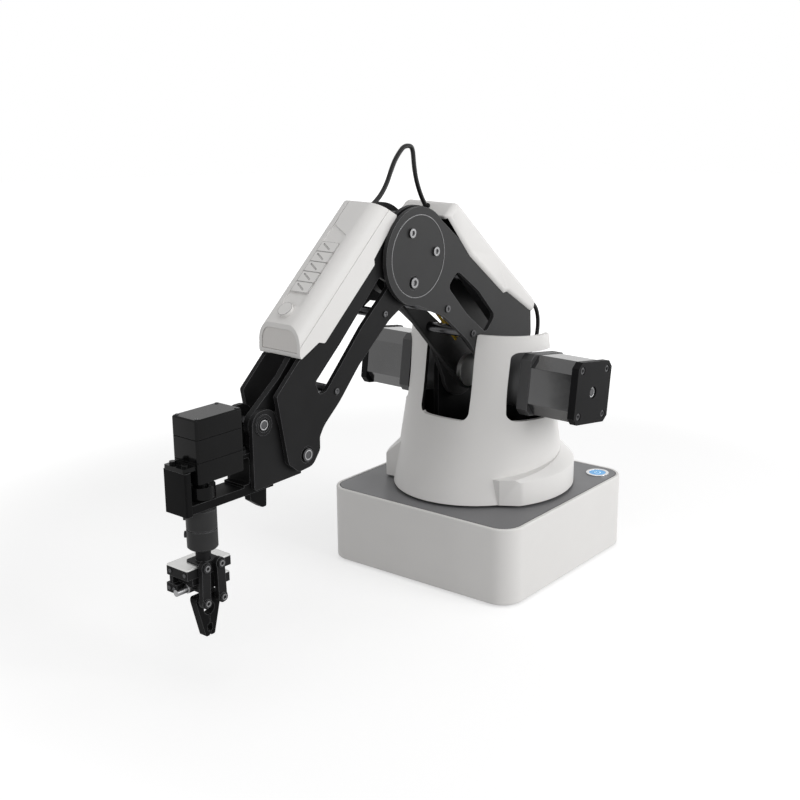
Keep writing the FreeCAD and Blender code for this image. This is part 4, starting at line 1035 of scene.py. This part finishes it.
@dataclass
class RearArm:
    """Inner rail, black painted shade inside the cover and cable grommets of the rear arm, in millimetres
    in the arm's plane.
    """

    grommet: Ring = Ring("cable_grommet", 1.6, 2.9, 0.9)
    top_place: Point = (61.0, 0.0, 260.1)
    top_facing: Point = (0.696, 0.0, 0.718)
    low_place: Point = (-38.6, 14.0, 182.8)
    low_facing: Point = (-0.942, 0.0, -0.336)
    cover: str = "rear_cover"
    cover_middle: Point = (22.9, 0.0, 212.0)
    facing_in: float = -0.15
    rail_size: Point = (78.0, 5.0, 8.3)
    rail_place: Point = (26.5, 17.3, 202.8)
    rail_slope: float = 45.9
    rail_groove: float = 1.2
    rail_edge: float = 0.3

    def build(self) -> None:
        """Paint shade inside the cover, stiffen the near plate and set the grommets."""
        self._line_cover()
        self._rail()
        self._grommets()

    def _rail(self) -> None:
        """Model the grooved rail inside the near plate, above its slot."""
        rail = Bench.block("inner_rail", self.rail_size)
        Bench.pick_faces(rail, lambda face: face.normal.z > FACES_ALONG)
        Bench.sink(self.rail_groove, self.rail_groove)
        Bench.soften(rail, self.rail_edge)
        Bench.settle(rail, arm_point(*self.rail_place), Axis.FAR.world(), self.rail_slope)
        Bench.fit(rail, BLACK_METAL, "black_metal", "rear_arm")

    def _line_cover(self) -> None:
        """Paint the inside of the white cover black as painted shade."""
        mesh = frame["nodes"][self.cover].data
        # Inner faces of the white cover get matt black as painted shade.
        mesh.materials.append(SHADE_PAINTED_BLACK.material())
        middle = arm_point(*self.cover_middle)
        for face in mesh.polygons:
            outward = (face.center - middle).normalized()
            face.material_index = 1 if face.normal.dot(outward) < self.facing_in else 0
        LOG.info("lined %s", self.cover)

    def _grommets(self) -> None:
        """Set a rubber grommet where each cable leaves the cover."""
        pattern = self.grommet.model()
        spare = Bench.copy(pattern, "cable_grommet_low")
        pattern.name = "cable_grommet_top"
        turn = Matrix.Rotation(REST_YAW, 3, "Z")
        rows = ((pattern, self.top_place, self.top_facing), (spare, self.low_place, self.low_facing))
        for piece, place, facing in rows:
            Bench.settle(piece, arm_point(*place), turn @ Vector(facing))
            Bench.fit(piece, RUBBER, "cable_black", "rear_arm")


@dataclass
class Elbow:
    """Thin steel rings round the elbow's discs that stand in for the highlight on their edges (painted
    highlight), in millimetres in the arm's plane.
    """

    place: Point = (93.95, 20.3, 233.55)
    trim: Ring = Ring("elbow_trim", 25.95, 26.4, 0.2, 96)

    def build(self) -> None:
        """Lay a painted-highlight ring on both discs."""
        pattern = self.trim.model()
        # Steel ring laid on each disc as a painted highlight on its edge.
        Bench.pair(pattern, "elbow_trim_%s", self.place, SCREW_STEEL, "elbow")
        bpy.data.objects.remove(pattern)


@dataclass
class Forearm:
    """Screw heads on the forearm's side plates, in millimetres in the arm's plane."""

    screw: SocketScrew = SocketScrew("forearm_screw", 2.0, 0.8, 0.95)
    places: Tuple[Point, ...] = ((121.8, 15.6, 200.3), (167.7, 15.6, 160.1))

    def build(self) -> None:
        """Screw both plates to their spacers."""
        pattern = self.screw.model()
        for number, place in enumerate(self.places):
            Bench.pair(pattern, "forearm_screw_%s_" + str(number), place, DARK_STEEL, "forearm")
        bpy.data.objects.remove(pattern)


@dataclass
class Wrist:
    """Corner screws of the servo and rings on the wrist pins, in millimetres in the arm's plane."""

    screw: SocketScrew = SocketScrew("servo_screw", 1.15, 0.4, 0.55)
    corners: Tuple[float, float] = (243.2, 272.6)
    half: float = 8.2
    top: float = 165.0
    pin_ring: Ring = Ring("wrist_pin_ring", 2.4, 3.1, 0.35)
    pins: Tuple[Point, ...] = ((194.67, 16.6, 126.48), (225.97, 12.2, 151.58))

    def build(self) -> None:
        """Put the four screws on the servo's lid and a ring on each pin's ends."""
        pattern = self.screw.model()
        for x in self.corners:
            for y in (-self.half, self.half):
                piece = Bench.copy(pattern, "servo_screw_%d_%d" % (x, y))
                Bench.settle(piece, arm_point(x, y, self.top), Axis.UP.world())
                Bench.fit(piece, DARK_STEEL, "steel", "wrist")
        bpy.data.objects.remove(pattern)
        pattern = self.pin_ring.model()
        for number, place in enumerate(self.pins):
            Bench.pair(pattern, "wrist_pin_ring_%s_" + str(number), place, STEEL, "wrist")
        bpy.data.objects.remove(pattern)


@dataclass
class Gripper:
    """Pivot rings and face screws of the gripper, in millimetres in the arm's plane."""

    ring: Ring = Ring("grip_pivot_ring", 1.0, 1.9, 0.3)
    upper: Tuple[Point, ...] = ((260.5, 9.7, 76.5), (271.5, 9.7, 76.5))
    front_pivot: Point = (272.2, 9.6, 55.2)
    rear_pivot: Point = (259.8, 9.6, 55.2)
    screw: SocketScrew = SocketScrew("grip_face_screw", 1.2, 0.5, 0.6)
    front: float = 282.5
    faces: Tuple[Tuple[float, float], ...] = ((-10.0, 74.0), (2.4, 74.0), (-11.5, 63.2), (-7.4, 63.2))

    def build(self) -> None:
        """Set the pivot rings and the screws of the cylinder's front face."""
        pattern = self.ring.model()
        rows = [(place, "tool") for place in self.upper]
        rows += [(self.front_pivot, "grip_link_front"), (self.rear_pivot, "grip_link_rear")]
        for number, (place, body) in enumerate(rows):
            piece = Bench.copy(pattern, "grip_pivot_ring_%d" % number)
            Bench.settle(piece, arm_point(*place), Axis.NEAR.world())
            Bench.fit(piece, SCREW_STEEL, "steel", body)
        bpy.data.objects.remove(pattern)
        pattern = self.screw.model()
        for number, (y, z) in enumerate(self.faces):
            piece = Bench.copy(pattern, "grip_face_screw_%d" % number)
            Bench.settle(piece, arm_point(self.front, y, z), Axis.FORWARD.world())
            Bench.fit(piece, DARK_STEEL, "steel", "tool")
        bpy.data.objects.remove(pattern)


def main() -> None:
    """Build the studio, the cables and the dressed arm."""
    logging.basicConfig(level=logging.INFO, format="%(name)s: %(message)s")
    PhotoCamera().build()
    Harness().build()
    Studio().build()
    NodeDressing().build()
    for unit in (BaseUnit(), Column(), RearArm(), Elbow(), Forearm(), Wrist(), Gripper()):
        unit.build()


if __name__ == "__main__":
    main()
